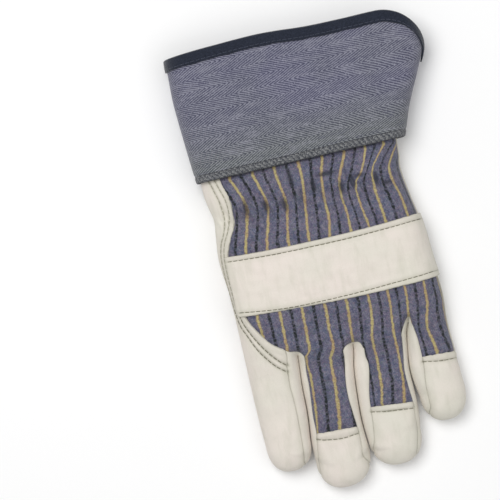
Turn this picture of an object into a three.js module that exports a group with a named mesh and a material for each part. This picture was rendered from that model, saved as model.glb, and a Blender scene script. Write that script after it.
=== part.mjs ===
import * as THREE from 'three';
import { mergeVertices } from 'three/addons/utils/BufferGeometryUtils.js';

// A leather palm work glove for the left hand, lying palm down with its thumb folded under the palm.
// Millimetres. +X runs from the thumb side to the little finger, +Y from fingertips to cuff, +Z up.
// The hand is one smooth closed skin, described by its outline and by its heights above the ground.
// Every leather or cloth panel is a patch of that skin, given a wall and kept clear of its neighbours.

// Driving dimensions
const WALL = 1.5;
const CUFF_WALL = 1.7;
const SEAM_GAP = 0.4;
const LAY_GAP = 0.5;
const EDGE_ROUND = 14;
const ROUND_POWER = 2.2;
const FINGER_CLEARANCE = 0.5;

// Where the skin starts under the cuff and where the back seams and the finger crotches lie
const WRIST_Y = 64;
const FORK_Y = { thumbSide: -14, indexMiddle: -49, middleRing: -49.7, ringLittle: -42.5, littleSide: -46 };
const CROTCH_Y = { thumbSide: -19, indexMiddle: -52.4, middleRing: -53.1, ringLittle: -46, littleSide: -50 };

// Lines that divide the hand lengthwise: [y, x]
const LINES = {
  thumbSide: [
    [64, -69.2], [46, -68.8], [35, -66.8], [26, -67.7], [14, -69.1], [5, -68.9],
    [-6, -67.8], [-20, -67.3], [-77, -67.7], [-104, -67.1],
  ],
  indexMiddle: [[64, -34.5], [-30, -36.2], [-52.4, -36.9], [-70, -38.2], [-86, -38.7], [-104, -40.6]],
  middleRing: [[64, -6.5], [-30, -4.6], [-53, -4.2], [-67, -6.8], [-84, -8.4], [-98, -9], [-116, -8]],
  ringLittle: [
    [64, 21.5], [-30, 29], [-46, 30.2], [-52, 27.9], [-63, 26], [-72, 24.8], [-80, 24.7], [-110, 25.4],
  ],
  littleSide: [
    [64, 47.3], [48, 46.4], [42, 45.4], [35, 45.9], [24, 47.5], [8, 50.1],
    [-15, 51.6], [-34, 53.2], [-53, 52.2], [-72, 53.2], [-92, 54.4],
  ],
};

// The ring and little fingers stand apart at their ends: [y, how far each draws back from their line]
const APART = {
  ring: { side: -1, by: [[-92, 0], [-103, 0.8], [-110, 2]] },
  little: { side: 1, by: [[-78, 0], [-85, 0.7], [-91, 1.6]] },
};

// Inner edge of the leather that wraps the thumb side of the back: [y, x]
const WRAP_EDGE = [
  [64, -58], [55, -57.9], [46, -55.5], [37, -55.4], [29, -56.5], [22, -60], [13, -63.7], [-12, -64.6],
];

// Heights above the ground: [y, z]
const PARTING_THUMB_SIDE = [[64, 13.5], [45, 13.2], [-12, 12.8], [-30, 11.4], [-52, 10], [-85, 9], [-130, 8]];
const PARTING_LITTLE_SIDE = [[64, 13.5], [40, 12], [0, 10.5], [-50, 9.5], [-85, 9], [-130, 8]];
const TOP = [
  [64, 23.9], [56, 24.6], [45, 25.8], [12, 26.8], [-25, 25.6],
  [-50, 22.4], [-62, 20.6], [-85, 19.3], [-105, 18.4], [-130, 17],
];
const UNDERSIDE = [[64, 4.2], [45, 4.8], [0, 4], [-45, 3.5], [-60, 2.2], [-80, 0.8], [-95, 0.2], [-130, 0.2]];

// The parting height changes from the thumb side to the little finger side over this width
const PARTING = { from: -68, over: 118 };

// The back of the hand is crowned between its sides, and the fingers are not
const CROWN = { height: 1.6, centre: -8, halfWidth: 60, from: -70, over: 30 };

// Elastic gathers across the back of the wrist
const GATHER = { y: 34, width: 7, depth: 2.2, ripple: 0.7, pitch: 11.6 };

// Folds across the skin: each is a soft dent, deepest at x and y; side 1 is the back and -1 the palm
const CREASES = [
  { side: 1, x: -55, y: -84, halfX: 12, halfY: 7, depth: 0.9 },
  { side: 1, x: -24, y: -61, halfX: 13, halfY: 6, depth: 1.5 },
  { side: 1, x: 9, y: -62, halfX: 13, halfY: 6, depth: 1.5 },
  { side: 1, x: 41, y: -57, halfX: 11, halfY: 6, depth: 1.3 },
  { side: 1, x: 5, y: -40, halfX: 42, halfY: 5, depth: 0.7 },
  { side: 1, x: -48, y: 46, halfX: 16, halfY: 6, depth: 0.8 },
  { side: -1, x: 34, y: -22, halfX: 13, halfY: 6, depth: 1.2 },
  { side: -1, x: 38, y: 22, halfX: 10, halfY: 7, depth: 1.1 },
  { side: -1, x: -54, y: -66, halfX: 13, halfY: 7, depth: 1.2 },
  { side: -1, x: -24, y: -78, halfX: 13, halfY: 7, depth: 1.2 },
  { side: -1, x: 8, y: -78, halfX: 13, halfY: 7, depth: 1.2 },
  { side: -1, x: 40, y: -70, halfX: 12, halfY: 7, depth: 1.1 },
];

// Fingers: columns are fractions of the width, and two of them are the seams of the back
const FINGERS = [
  {
    name: 'index', left: 'thumbSide', right: 'indexMiddle',
    columns: [0, 0.03, 0.1, 0.2, 0.4, 0.58, 0.755, 0.92, 1],
    seams: [0, 6], tipSeamY: -84, roundY: -101, tipY: -117.3, tipX: -54, rows: [5, 1], forkEnd: 3,
  },
  {
    name: 'middle', left: 'indexMiddle', right: 'middleRing',
    columns: [0, 0.04, 0.12, 0.3, 0.5, 0.7, 0.84, 0.945, 1],
    seams: [2, 6], tipSeamY: -99.5, roundY: -116, tipY: -133.4, tipX: -25.2, rows: [5, 2], forkEnd: 1,
  },
  {
    name: 'ring', left: 'middleRing', right: 'ringLittle',
    columns: [0, 0.07, 0.25, 0.45, 0.65, 0.82, 0.92, 1],
    seams: [2, 6], tipSeamY: -92, roundY: -110, tipY: -127.4, tipX: 7.8, rows: [4, 2], forkEnd: 1,
  },
  {
    name: 'little', left: 'ringLittle', right: 'littleSide',
    columns: [0, 0.08, 0.28, 0.5, 0.72, 0.88, 0.97, 1],
    seams: [2, 7], tipSeamY: -69.8, roundY: -91, tipY: -108.4, tipX: 40.4, rows: [3, 2], forkEnd: 1,
  },
];
const TIP_ANGLES = [22, 44, 63, 77];
const TIP_POWER = 2 / 2.3;
const TIP_BOW_POWER = 3;

// Rows of the palm as fractions of the way from the wrist to the fork seams
const PALM_ROWS = [0, 0.06, 0.12, 0.18, 0.24, 0.3, 0.36, 0.43, 0.51, 0.6, 0.69, 0.78, 0.86, 0.93, 1];
const FORK_ROW = PALM_ROWS.length - 1;
const CROTCH_ROW = FORK_ROW + 1;

// In the index part of the palm: the column of the wrap's edge and the rounds in which each row's
// crossing of that edge is found, the hole that the thumb's mouth leaves in the palm leather, and how
// the rows slant towards the fingers on the back and on the palm
const WRAP_COLUMN = 3;
const WRAP_ROUNDS = 24;
const MOUTH = { column: 5, edge: 0.5, beside: 0.36, firstRow: 4, lastRow: 13 };
const SLANT = { backReach: 1.08, palmPower: 2.5 };

// The thumb lies under the palm, from its mouth at the thumb side to its tip.
// Each section runs from the edge nearest the fingers to the edge nearest the cuff.
const THUMB_SECTIONS = [
  { nearX: -67.9, nearY: -9, farX: -68.6, farY: 45 },
  { nearX: -66.6, nearY: -9.8, farX: -67, farY: 45.5 },
  { nearX: -63.5, nearY: -12, farX: -63.8, farY: 46.2 },
  { nearX: -59, nearY: -15.2, farX: -59, farY: 46.5 },
  { nearX: -50, nearY: -19.3, farX: -49, farY: 46.5 },
  { nearX: -38.8, nearY: -21.9, farX: -33, farY: 42.5 },
  { nearX: -23.1, nearY: -28.3, farX: -18.5, farY: 28.5 },
  { nearX: -7.4, nearY: -35.7, farX: -2, farY: 13.5 },
  { nearX: 3, nearY: -38.6, farX: 12, farY: 4 },
  { nearX: 12.5, nearY: -37, farX: 19.8, farY: -3.5 },
  { nearX: 19.3, nearY: -31, farX: 23.2, farY: -11 },
  { nearX: 22.6, nearY: -24.5, farX: 24, farY: -18.5 },
];
const THUMB_COLUMNS = [0, 0.05, 0.16, 0.33, 0.5, 0.67, 0.84, 0.95, 1];
const THUMB = {
  round: 8, top: 9.4, edge: 4.6, underPalm: 0.7, rootEnd: -50, edgeStart: -34, corner: 9, frontFirst: 4,
};
const PALM_OVER_THUMB = 10.2;
const THUMB_REACH = { from: 4, over: 16 };

// Cuff: one section per row
const CUFF_SECTIONS = [
  { y: 57.4, left: -71.5, right: 52.2, bottom: 2.1, top: 28.2 },
  { y: 61, left: -71.9, right: 53.8, bottom: 2.1, top: 28.2 },
  { y: 75.7, left: -72.9, right: 59.4, bottom: 2.1, top: 28.4 },
  { y: 96, left: -74, right: 69.4, bottom: 2, top: 28 },
  { y: 108, left: -74.4, right: 74.4, bottom: 1.8, top: 27 },
  { y: 132, left: -73.4, right: 75.5, bottom: 1.6, top: 25.5 },
];
const CUFF_AROUND = 40;
const CUFF_ROWS = [0, 0.055, 0.2, 0.4, 0.6, 0.78, 0.91, 1];
const CUFF_PARTING = 13.8;
const CUFF_RIM = { y: 131.2, low: 103.5, cornerFrom: 0.82, power: 2.1 };
const BINDING = { wall: 0.9, width: 6, overhang: 1.3, gap: 0.5, shoulderOut: 0.8, shoulderUp: 0.6 };

const STRAP = {
  left: -64.6, topLeft: 12.6, topRight: 12.6, bottomLeft: -22.8, bottomRight: -25.4,
  sag: 2, inset: 1, crowd: 0.75,
};
const STRAP_COLUMNS = 24;
const STRAP_ROWS = 4;

const PATCH = { centre: 4, halfWidth: 27.5, corner: 14.5, from: 58.2, to: 90.2 };
const PATCH_COLUMNS = 8;
const PATCH_ROWS = [0, 0.3, 0.55, 0.7, 0.82, 0.92, 0.98, 1];

const WELT = { halfWidth: 1.8, height: 1.3, shoulderOut: 0.6, shoulderUp: 0.8 };

// Points closer than this are one, and no corner of a panel is mitred more sharply than this cosine
const WELD = 1e-5;
const SHARPEST = -0.4;

// Colours
const IVORY = 0xe4ded3;
const STRIPED_CLOTH = 0x646287;
const CUFF_CLOTH = 0x6f7292;
const NAVY = 0x263044;
const WELT_GREY = 0xc9d0d8;

// A smooth curve through rows of [position, value], held level past both ends
function along(rows, at) {
  const up = rows[0][0] < rows[rows.length - 1][0] ? rows : [...rows].reverse();
  const last = up.length - 1;
  if (at <= up[0][0]) return up[0][1];
  if (at >= up[last][0]) return up[last][1];
  const i = up.findIndex((row, n) => n < last && at <= up[n + 1][0]);
  const slope = (a, b) => (up[b][1] - up[a][1]) / (up[b][0] - up[a][0]);
  const span = up[i + 1][0] - up[i][0];
  const t = (at - up[i][0]) / span;
  const leave = slope(Math.max(i - 1, 0), i + 1) * span;
  const arrive = slope(i, Math.min(i + 2, last)) * span;
  const rise = up[i + 1][1] - up[i][1];
  const bend = 3 * rise - 2 * leave - arrive;
  const twist = leave + arrive - 2 * rise;
  return up[i][1] + t * (leave + t * (bend + t * twist));
}

const mix = (a, b, t) => a + (b - a) * t;
const clamp = (t) => Math.min(Math.max(t, 0), 1);
const smooth = (t) => clamp(t) * clamp(t) * (3 - 2 * clamp(t));
const rounded = (depth, radius) => {
  const rest = 1 - clamp(depth / radius);
  return (1 - rest ** ROUND_POWER) ** (1 / ROUND_POWER);
};

// Shortest distance from a point to a line of points
function distanceTo(points, x, y) {
  let best = Infinity;
  for (let i = 0; i + 1 < points.length; i += 1) {
    const [ax, ay] = points[i];
    const [bx, by] = points[i + 1];
    const length = (bx - ax) ** 2 + (by - ay) ** 2;
    const t = length > 0 ? clamp(((x - ax) * (bx - ax) + (y - ay) * (by - ay)) / length) : 0;
    best = Math.min(best, Math.hypot(x - mix(ax, bx, t), y - mix(ay, by, t)));
  }
  return best;
}

function insideOf(points, x, y) {
  let inside = false;
  points.forEach(([ax, ay], i) => {
    const [bx, by] = points[(i + 1) % points.length];
    if (ay > y !== by > y && x < ax + ((bx - ax) * (y - ay)) / (by - ay)) inside = !inside;
  });
  return inside;
}

// A skin of shared points and four-sided faces, each with the name of its panel
class Skin {
  constructor() {
    this.points = [];
    this.keys = new Map();
    this.faces = [];
  }

  point(key, make) {
    if (!this.keys.has(key)) {
      this.keys.set(key, this.points.length);
      this.points.push(make());
    }
    return this.keys.get(key);
  }

  face(corners, panel) {
    if (new Set(corners).size === 4) this.faces.push({ corners, panel });
  }

  normals() {
    const sums = this.points.map(() => new THREE.Vector3());
    this.faces.forEach(({ corners }) => {
      const [a, b, c, d] = corners.map((i) => this.points[i]);
      const across = new THREE.Vector3().subVectors(c, a);
      across.cross(new THREE.Vector3().subVectors(d, b));
      corners.forEach((i) => sums[i].add(across.clone().normalize()));
    });
    return sums.map((sum) => sum.normalize());
  }
}

// A four-sided face is folded along its shorter diagonal
function twoTriangles(positions, a, b, c, d) {
  const even = positions[a].distanceTo(positions[c]) <= positions[b].distanceTo(positions[d]);
  return even ? [a, b, c, a, c, d] : [a, b, d, b, c, d];
}

// The faces of one panel as a solid wall: from `lift` outside the skin to `wall` below that,
// with its free edges drawn in along the skin by `inset`
function panelSolid(skin, normals, panel, { wall = WALL, lift = 0, inset = SEAM_GAP / 2 } = {}) {
  const faces = skin.faces.filter((face) => face.panel === panel).map((face) => face.corners);
  const edges = new Map();
  faces.forEach((corners) => corners.forEach((a, i) => {
    const b = corners[(i + 1) % 4];
    if (!edges.delete(`${b}/${a}`)) edges.set(`${a}/${b}`, [a, b]);
  }));
  const pull = new Map();
  edges.forEach(([a, b]) => {
    [a, b].forEach((i) => {
      const inward = new THREE.Vector3().subVectors(skin.points[b], skin.points[a]);
      inward.crossVectors(normals[i], inward).normalize();
      if (!pull.has(i)) pull.set(i, []);
      pull.get(i).push(inward);
    });
  });
  const used = [...new Set(faces.flat())];
  const place = new Map(used.map((i, n) => [i, n]));
  const outer = [];
  const inner = [];
  used.forEach((i) => {
    const at = skin.points[i].clone();
    if (pull.has(i)) {
      const [one, other] = pull.get(i);
      const share = 1 + Math.max(one.dot(other), SHARPEST);
      at.addScaledVector(one.clone().add(other), inset / share);
    }
    outer.push(at.clone().addScaledVector(normals[i], lift));
    inner.push(at.clone().addScaledVector(normals[i], lift - wall));
  });
  const positions = [...outer, ...inner];
  const index = [];
  const quad = (...corners) => index.push(...twoTriangles(positions, ...corners));
  faces.forEach((corners) => {
    const [a, b, c, d] = corners.map((i) => place.get(i));
    const under = used.length;
    quad(a, b, c, d);
    quad(d + under, c + under, b + under, a + under);
  });
  edges.forEach(([a, b]) => {
    const [first, second] = [place.get(a), place.get(b)];
    quad(second, first, first + used.length, second + used.length);
  });
  return solid(positions, index);
}

function solid(positions, index) {
  const geometry = new THREE.BufferGeometry();
  const numbers = positions.flatMap((point) => point.toArray());
  geometry.setAttribute('position', new THREE.Float32BufferAttribute(numbers, 3));
  geometry.setIndex(index);
  return mergeVertices(geometry, WELD);
}

// Hand outline and rows

function lineY(line, row) {
  if (row >= CROTCH_ROW) return CROTCH_Y[line];
  return mix(WRIST_Y, FORK_Y[line], PALM_ROWS[row]);
}

function lastRow(finger) {
  return CROTCH_ROW + finger.rows[0] + finger.rows[1] + TIP_ANGLES.length;
}

function tipSeamRow(finger) {
  return CROTCH_ROW + finger.rows[0];
}

function roundRow(finger) {
  return CROTCH_ROW + finger.rows[0] + finger.rows[1];
}

// Ends of one row of a finger or of its part of the palm, with the bow of the row towards the tip
function rowEnds(finger, row) {
  const straight = (y, side) => {
    const apart = APART[finger.name]?.side === side ? along(APART[finger.name].by, y) : 0;
    const clear = row > CROTCH_ROW ? (FINGER_CLEARANCE + apart) * side : 0;
    return [along(LINES[side > 0 ? finger.left : finger.right], y) + clear, y];
  };
  if (row <= CROTCH_ROW) {
    const [leftY, rightY] = [lineY(finger.left, row), lineY(finger.right, row)];
    return { left: straight(leftY, 1), right: straight(rightY, -1), bow: 0 };
  }
  const [before, after] = finger.rows;
  const step = row - CROTCH_ROW;
  if (step <= before + after) {
    const t = step <= before ? step / before : (step - before) / after;
    const [fromLeft, fromRight, to] = step <= before
      ? [CROTCH_Y[finger.left], CROTCH_Y[finger.right], finger.tipSeamY]
      : [finger.tipSeamY, finger.tipSeamY, finger.roundY];
    return { left: straight(mix(fromLeft, to, t), 1), right: straight(mix(fromRight, to, t), -1), bow: 0 };
  }
  const angle = (TIP_ANGLES[step - before - after - 1] * Math.PI) / 180;
  const [startLeft] = straight(finger.roundY, 1);
  const [startRight] = straight(finger.roundY, -1);
  const narrow = Math.cos(angle) ** TIP_POWER;
  const advance = Math.sin(angle) ** TIP_POWER;
  const y = mix(finger.roundY, finger.tipY, advance);
  const middle = mix((startLeft + startRight) / 2, finger.tipX, advance);
  const half = ((startRight - startLeft) / 2) * narrow;
  const bow = (y - finger.tipY) * advance ** TIP_BOW_POWER;
  return { left: [middle - half, y], right: [middle + half, y], bow };
}

// How far across its row the wrap's edge lies: a slanting row is followed until it crosses the edge
function wrapShare(finger, row, ends) {
  let share = 0;
  for (let round = 0; round < WRAP_ROUNDS; round += 1) {
    const y = mix(ends.left[1], ends.right[1], slant(finger, row, share, 1));
    const crossing = (along(WRAP_EDGE, y) - ends.left[0]) / (ends.right[0] - ends.left[0]);
    share = mix(share, crossing, 0.5);
  }
  return share;
}

function columnAt(finger, row, column, side, ends) {
  const columns = finger.columns;
  if (finger.name !== 'index' || row >= FORK_ROW) return columns[column];
  if (side < 0) {
    if (column === MOUTH.column) return MOUTH.edge;
    return column === MOUTH.column - 1 ? MOUTH.beside : columns[column];
  }
  const wrap = wrapShare(finger, row, ends);
  const seam = columns[finger.seams[1]];
  if (column <= WRAP_COLUMN) return (columns[column] / columns[WRAP_COLUMN]) * wrap;
  if (column >= finger.seams[1]) return columns[column];
  return mix(wrap, seam, (column - WRAP_COLUMN) / (finger.seams[1] - WRAP_COLUMN));
}

// The index part of the palm has slanting rows: their bend follows the cloth's diagonal edge on the
// back, and the foot of the thumb on the palm
function slant(finger, row, t, side) {
  if (finger.name !== 'index' || row > CROTCH_ROW) return t;
  return side > 0 ? Math.sin((Math.PI / 2) * Math.min(1, SLANT.backReach * t)) : t ** SLANT.palmPower;
}

function placeInHand(finger, row, column, side) {
  const ends = rowEnds(finger, row);
  const t = columnAt(finger, row, column, side, ends);
  const x = mix(ends.left[0], ends.right[0], t);
  const y = mix(ends.left[1], ends.right[1], slant(finger, row, t, side));
  return [x, y - ends.bow * (1 - (2 * t - 1) ** 2)];
}

function handOutline() {
  const points = [];
  FINGERS.forEach((finger, n) => {
    const rows = [...Array(lastRow(finger) + 1).keys()];
    const first = n === 0 ? 0 : CROTCH_ROW + 1;
    rows.filter((row) => row >= first).forEach((row) => points.push(rowEnds(finger, row).left));
    for (let column = 1; column + 1 < finger.columns.length; column += 1) {
      points.push(placeInHand(finger, lastRow(finger), column, 1));
    }
    const stop = n === FINGERS.length - 1 ? 0 : CROTCH_ROW;
    rows.filter((row) => row >= stop).reverse().forEach((row) => points.push(rowEnds(finger, row).right));
  });
  return points;
}

const OUTLINE = handOutline();
const THUMB_OUTLINE = [
  ...THUMB_SECTIONS.map((section) => [section.nearX, section.nearY]),
  ...[...THUMB_SECTIONS].reverse().map((section) => [section.farX, section.farY]),
];

// Heights of the hand's skin

function partingHeight(x, y) {
  const across = clamp((x - PARTING.from) / PARTING.over);
  return mix(along(PARTING_THUMB_SIDE, y), along(PARTING_LITTLE_SIDE, y), across);
}

function creaseDepth(x, y, side) {
  return CREASES.filter((crease) => crease.side === side).reduce((sum, crease) => {
    const away = ((x - crease.x) / crease.halfX) ** 2 + ((y - crease.y) / crease.halfY) ** 2;
    return sum + crease.depth * Math.exp(-away);
  }, 0);
}

function topHeight(x, y) {
  const across = 1 - ((x - CROWN.centre) / CROWN.halfWidth) ** 2;
  const crown = CROWN.height * across * smooth((y - CROWN.from) / CROWN.over);
  const gathered = Math.exp(-(((y - GATHER.y) / GATHER.width) ** 2));
  const ripple = GATHER.ripple * Math.cos((2 * Math.PI * x) / GATHER.pitch);
  return along(TOP, y) + crown - gathered * (GATHER.depth + ripple) - creaseDepth(x, y, 1);
}

function underHeight(x, y) {
  const away = insideOf(THUMB_OUTLINE, x, y) ? 0 : distanceTo(THUMB_OUTLINE, x, y);
  const base = along(UNDERSIDE, y) + creaseDepth(x, y, -1);
  return mix(PALM_OVER_THUMB, base, smooth((away - THUMB_REACH.from) / THUMB_REACH.over));
}

function handHeight(x, y, side, depth) {
  const parting = partingHeight(x, y);
  const full = side > 0 ? topHeight(x, y) : underHeight(x, y);
  return mix(parting, full, rounded(depth, EDGE_ROUND));
}

// Which panel a face of the hand belongs to, by its row, its column and its side

const FORKS = {
  indexMiddle: 'fourchette_index_middle',
  middleRing: 'fourchette_middle_ring',
  ringLittle: 'fourchette_ring_little',
};

function panelOf(finger, row, column, side) {
  const [seamLeft, seamRight] = finger.seams;
  const beyondFork = row >= FORK_ROW;
  const forkEndRow = roundRow(finger) + finger.forkEnd;
  if (beyondFork && row < forkEndRow) {
    if (column < seamLeft) return FORKS[finger.left];
    if (column >= seamRight) return FORKS[finger.right];
  }
  if (finger.name === 'index') return indexPanel(row, column, side, beyondFork);
  if (side > 0) return beyondFork && row >= tipSeamRow(finger) ? `tip_${finger.name}` : 'back_panel';
  return beyondFork && finger.name !== 'little' ? `finger_front_${finger.name}` : 'palm_leather';
}

function indexPanel(row, column, side, beyondFork) {
  if (side > 0) return beyondFork || column < WRAP_COLUMN ? 'palm_leather' : 'back_panel';
  const mouth = column < MOUTH.column && row >= MOUTH.firstRow && row < MOUTH.lastRow;
  return mouth ? 'thumb_mouth' : 'palm_leather';
}

function makeHand() {
  const skin = new Skin();
  const isFree = (n, row, column) => {
    const finger = FINGERS[n];
    const last = finger.columns.length - 1;
    if (row === lastRow(finger)) return true;
    if (column === 0) return n === 0 || row > CROTCH_ROW;
    if (column === last) return n === FINGERS.length - 1 || row >= CROTCH_ROW;
    return false;
  };
  const at = (n, row, column, side) => {
    const finger = FINGERS[n];
    if (column === 0 && n > 0 && row <= CROTCH_ROW) {
      return at(n - 1, row, FINGERS[n - 1].columns.length - 1, side);
    }
    const free = isFree(n, row, column);
    return skin.point(`${n}/${row}/${column}/${free ? 0 : side}`, () => {
      const [x, y] = placeInHand(finger, row, column, side);
      return new THREE.Vector3(x, y, handHeight(x, y, side, free ? 0 : distanceTo(OUTLINE, x, y)));
    });
  };
  FINGERS.forEach((finger, n) => {
    for (let row = 0; row < lastRow(finger); row += 1) {
      for (let column = 0; column + 1 < finger.columns.length; column += 1) {
        [1, -1].forEach((side) => {
          const corners = [
            at(n, row, column, side), at(n, row + 1, column, side),
            at(n, row + 1, column + 1, side), at(n, row, column + 1, side),
          ];
          if (side < 0) corners.reverse();
          skin.face(corners, panelOf(finger, row, column, side));
        });
      }
    }
  });
  return { skin, at };
}

// Thumb

function thumbHeight(x, y, side, depth, root) {
  const fromEnd = Math.min(y - THUMB_SECTIONS[0].nearY, THUMB_SECTIONS[0].farY - y);
  const lifted = root ? smooth(fromEnd / THUMB.corner) : 0;
  const palm = handHeight(x, y, -1, distanceTo(OUTLINE, x, y));
  const rootEdge = mix(palm - THUMB.underPalm, partingHeight(x, y), lifted);
  const edge = mix(rootEdge, THUMB.edge, smooth((x - THUMB.rootEnd) / (THUMB.edgeStart - THUMB.rootEnd)));
  return mix(edge, side > 0 ? THUMB.top : 0, rounded(depth, THUMB.round));
}

function makeThumb() {
  const skin = new Skin();
  const lastSection = THUMB_SECTIONS.length - 1;
  const lastColumn = THUMB_COLUMNS.length - 1;
  const at = (row, column, side) => {
    const edge = row === lastSection || column === 0 || column === lastColumn;
    const free = edge || (row === 0 && side < 0);
    const key = edge && row >= THUMB.frontFirst ? 0 : side;
    return skin.point(`${row}/${column}/${key}`, () => {
      const section = THUMB_SECTIONS[row];
      const t = THUMB_COLUMNS[column];
      const y = mix(section.nearY, section.farY, t);
      const straight = mix(section.nearX, section.farX, t);
      const x = row === 0 ? along(LINES.thumbSide, y) : straight;
      const depth = free ? 0 : distanceTo([...THUMB_OUTLINE, THUMB_OUTLINE[0]], x, y);
      return new THREE.Vector3(x, y, thumbHeight(x, y, side, depth, row === 0));
    });
  };
  for (let row = 0; row < lastSection; row += 1) {
    for (let column = 0; column < lastColumn; column += 1) {
      [1, -1].filter((side) => side < 0 || row >= THUMB.frontFirst).forEach((side) => {
        const corners = [
          at(row, column, side), at(row + 1, column, side),
          at(row + 1, column + 1, side), at(row, column + 1, side),
        ];
        if (side < 0) corners.reverse();
        skin.face(corners, side > 0 ? 'thumb_front' : 'thumb_back');
      });
    }
  }
  // The root edge meets the wrap leather upright, so its skin is continued there by its own mirror image
  const mirrored = (column) => skin.point(`mirror/${column}`, () => {
    const [edge, next] = [0, 1].map((row) => skin.points[at(row, column, -1)]);
    return new THREE.Vector3(next.x, next.y, 2 * edge.z - next.z);
  });
  for (let column = 0; column < lastColumn; column += 1) {
    skin.face([at(0, column, -1), mirrored(column), mirrored(column + 1), at(0, column + 1, -1)], 'mirror');
  }
  return skin;
}

// Cuff, binding and pulse patch

function cuffSection(y) {
  const pick = (field) => along(CUFF_SECTIONS.map((section) => [section.y, section[field]]), y);
  return { left: pick('left'), right: pick('right'), bottom: pick('bottom'), top: pick('top') };
}

function cuffPoint(t, y, side) {
  const section = cuffSection(y);
  const x = mix(section.left, section.right, t);
  const full = side > 0 ? section.top : section.bottom;
  const depth = Math.min(x - section.left, section.right - x);
  return new THREE.Vector3(x, y, mix(CUFF_PARTING, full, rounded(depth, EDGE_ROUND)));
}

function rimHeight(t) {
  const past = clamp((t - CUFF_RIM.cornerFrom) / (1 - CUFF_RIM.cornerFrom));
  return mix(CUFF_RIM.low, CUFF_RIM.y, (1 - past ** CUFF_RIM.power) ** (1 / CUFF_RIM.power));
}

function makeCuff() {
  const skin = new Skin();
  const at = (row, around) => {
    const column = (around + CUFF_AROUND) % CUFF_AROUND;
    return skin.point(`${row}/${column}`, () => {
      const angle = (2 * Math.PI * column) / CUFF_AROUND;
      const t = (1 - Math.cos(angle)) / 2;
      const y = mix(CUFF_SECTIONS[0].y, rimHeight(t), CUFF_ROWS[row]);
      return cuffPoint(t, y, Math.sin(angle) >= 0 ? 1 : -1);
    });
  };
  for (let row = 0; row + 1 < CUFF_ROWS.length; row += 1) {
    for (let around = 0; around < CUFF_AROUND; around += 1) {
      skin.face([at(row, around), at(row, around + 1), at(row + 1, around + 1), at(row + 1, around)], 'cuff');
    }
  }
  return { skin, at };
}

// The binding is a channel folded over the rim: its section is swept round the cuff
function bindingSolid(cuff, normals) {
  const rim = CUFF_ROWS.length - 1;
  const near = BINDING.gap;
  const far = near + BINDING.wall;
  const shoulder = BINDING.overhang * BINDING.shoulderOut;
  const section = [
    [BINDING.width, near], [BINDING.width, far], [0, far], [-shoulder, far * BINDING.shoulderUp],
    [-BINDING.overhang, -CUFF_WALL / 2], [-shoulder, -CUFF_WALL - far * BINDING.shoulderUp],
    [0, -CUFF_WALL - far], [BINDING.width, -CUFF_WALL - far], [BINDING.width, -CUFF_WALL - near],
    [-near, -CUFF_WALL - near], [-near, near],
  ];
  const positions = [];
  const index = [];
  for (let around = 0; around < CUFF_AROUND; around += 1) {
    const [edge, below] = [cuff.at(rim, around), cuff.at(rim - 1, around)];
    const reach = cuff.skin.points[edge].distanceTo(cuff.skin.points[below]);
    section.forEach(([down, out]) => {
      const normal = normals[edge].clone().lerp(normals[below], Math.max(down, 0) / reach);
      const foot = cuff.skin.points[edge].clone().lerp(cuff.skin.points[below], down / reach);
      positions.push(foot.addScaledVector(normal, out));
    });
  }
  const size = section.length;
  for (let around = 0; around < CUFF_AROUND; around += 1) {
    const next = ((around + 1) % CUFF_AROUND) * size;
    const here = around * size;
    section.forEach((_, i) => {
      const j = (i + 1) % size;
      index.push(...twoTriangles(positions, here + i, next + i, next + j, here + j));
    });
  }
  return solid(positions, index);
}

function makePatch() {
  const skin = new Skin();
  const last = PATCH_ROWS.length - 1;
  const at = (row, column) => skin.point(`${row}/${column}`, () => {
    const y = mix(PATCH.from, PATCH.to, PATCH_ROWS[row]);
    const past = clamp((y - (PATCH.to - PATCH.corner)) / PATCH.corner);
    const half = PATCH.halfWidth - PATCH.corner + PATCH.corner * Math.sqrt(1 - past ** 2);
    const section = cuffSection(y);
    const x = PATCH.centre + half * ((2 * column) / PATCH_COLUMNS - 1);
    return cuffPoint((x - section.left) / (section.right - section.left), y, -1);
  });
  for (let row = 0; row < last; row += 1) {
    for (let column = 0; column < PATCH_COLUMNS; column += 1) {
      const [left, right] = [column, column + 1];
      skin.face([at(row, left), at(row + 1, left), at(row + 1, right), at(row, right)], 'pulse_patch');
    }
  }
  return skin;
}

// Knuckle strap, laid on the back from the wrap to the little finger side

function makeStrap() {
  const skin = new Skin();
  const at = (row, column) => skin.point(`${row}/${column}`, () => {
    const across = column / STRAP_COLUMNS;
    const t = mix(across, (1 - Math.cos(Math.PI * across)) / 2, STRAP.crowd);
    const down = row / STRAP_ROWS;
    const bow = STRAP.sag * (1 - (2 * t - 1) ** 2);
    const top = mix(STRAP.topLeft, STRAP.topRight, t);
    const bottom = mix(STRAP.bottomLeft, STRAP.bottomRight, t);
    const y = mix(top, bottom, down) - bow;
    const x = mix(STRAP.left, along(LINES.littleSide, y) - STRAP.inset, t);
    return new THREE.Vector3(x, y, handHeight(x, y, 1, distanceTo(OUTLINE, x, y)));
  });
  for (let row = 0; row < STRAP_ROWS; row += 1) {
    for (let column = 0; column < STRAP_COLUMNS; column += 1) {
      const [left, right] = [column, column + 1];
      skin.face([at(row, left), at(row + 1, left), at(row + 1, right), at(row, right)], 'knuckle_strap');
    }
  }
  return skin;
}

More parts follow.
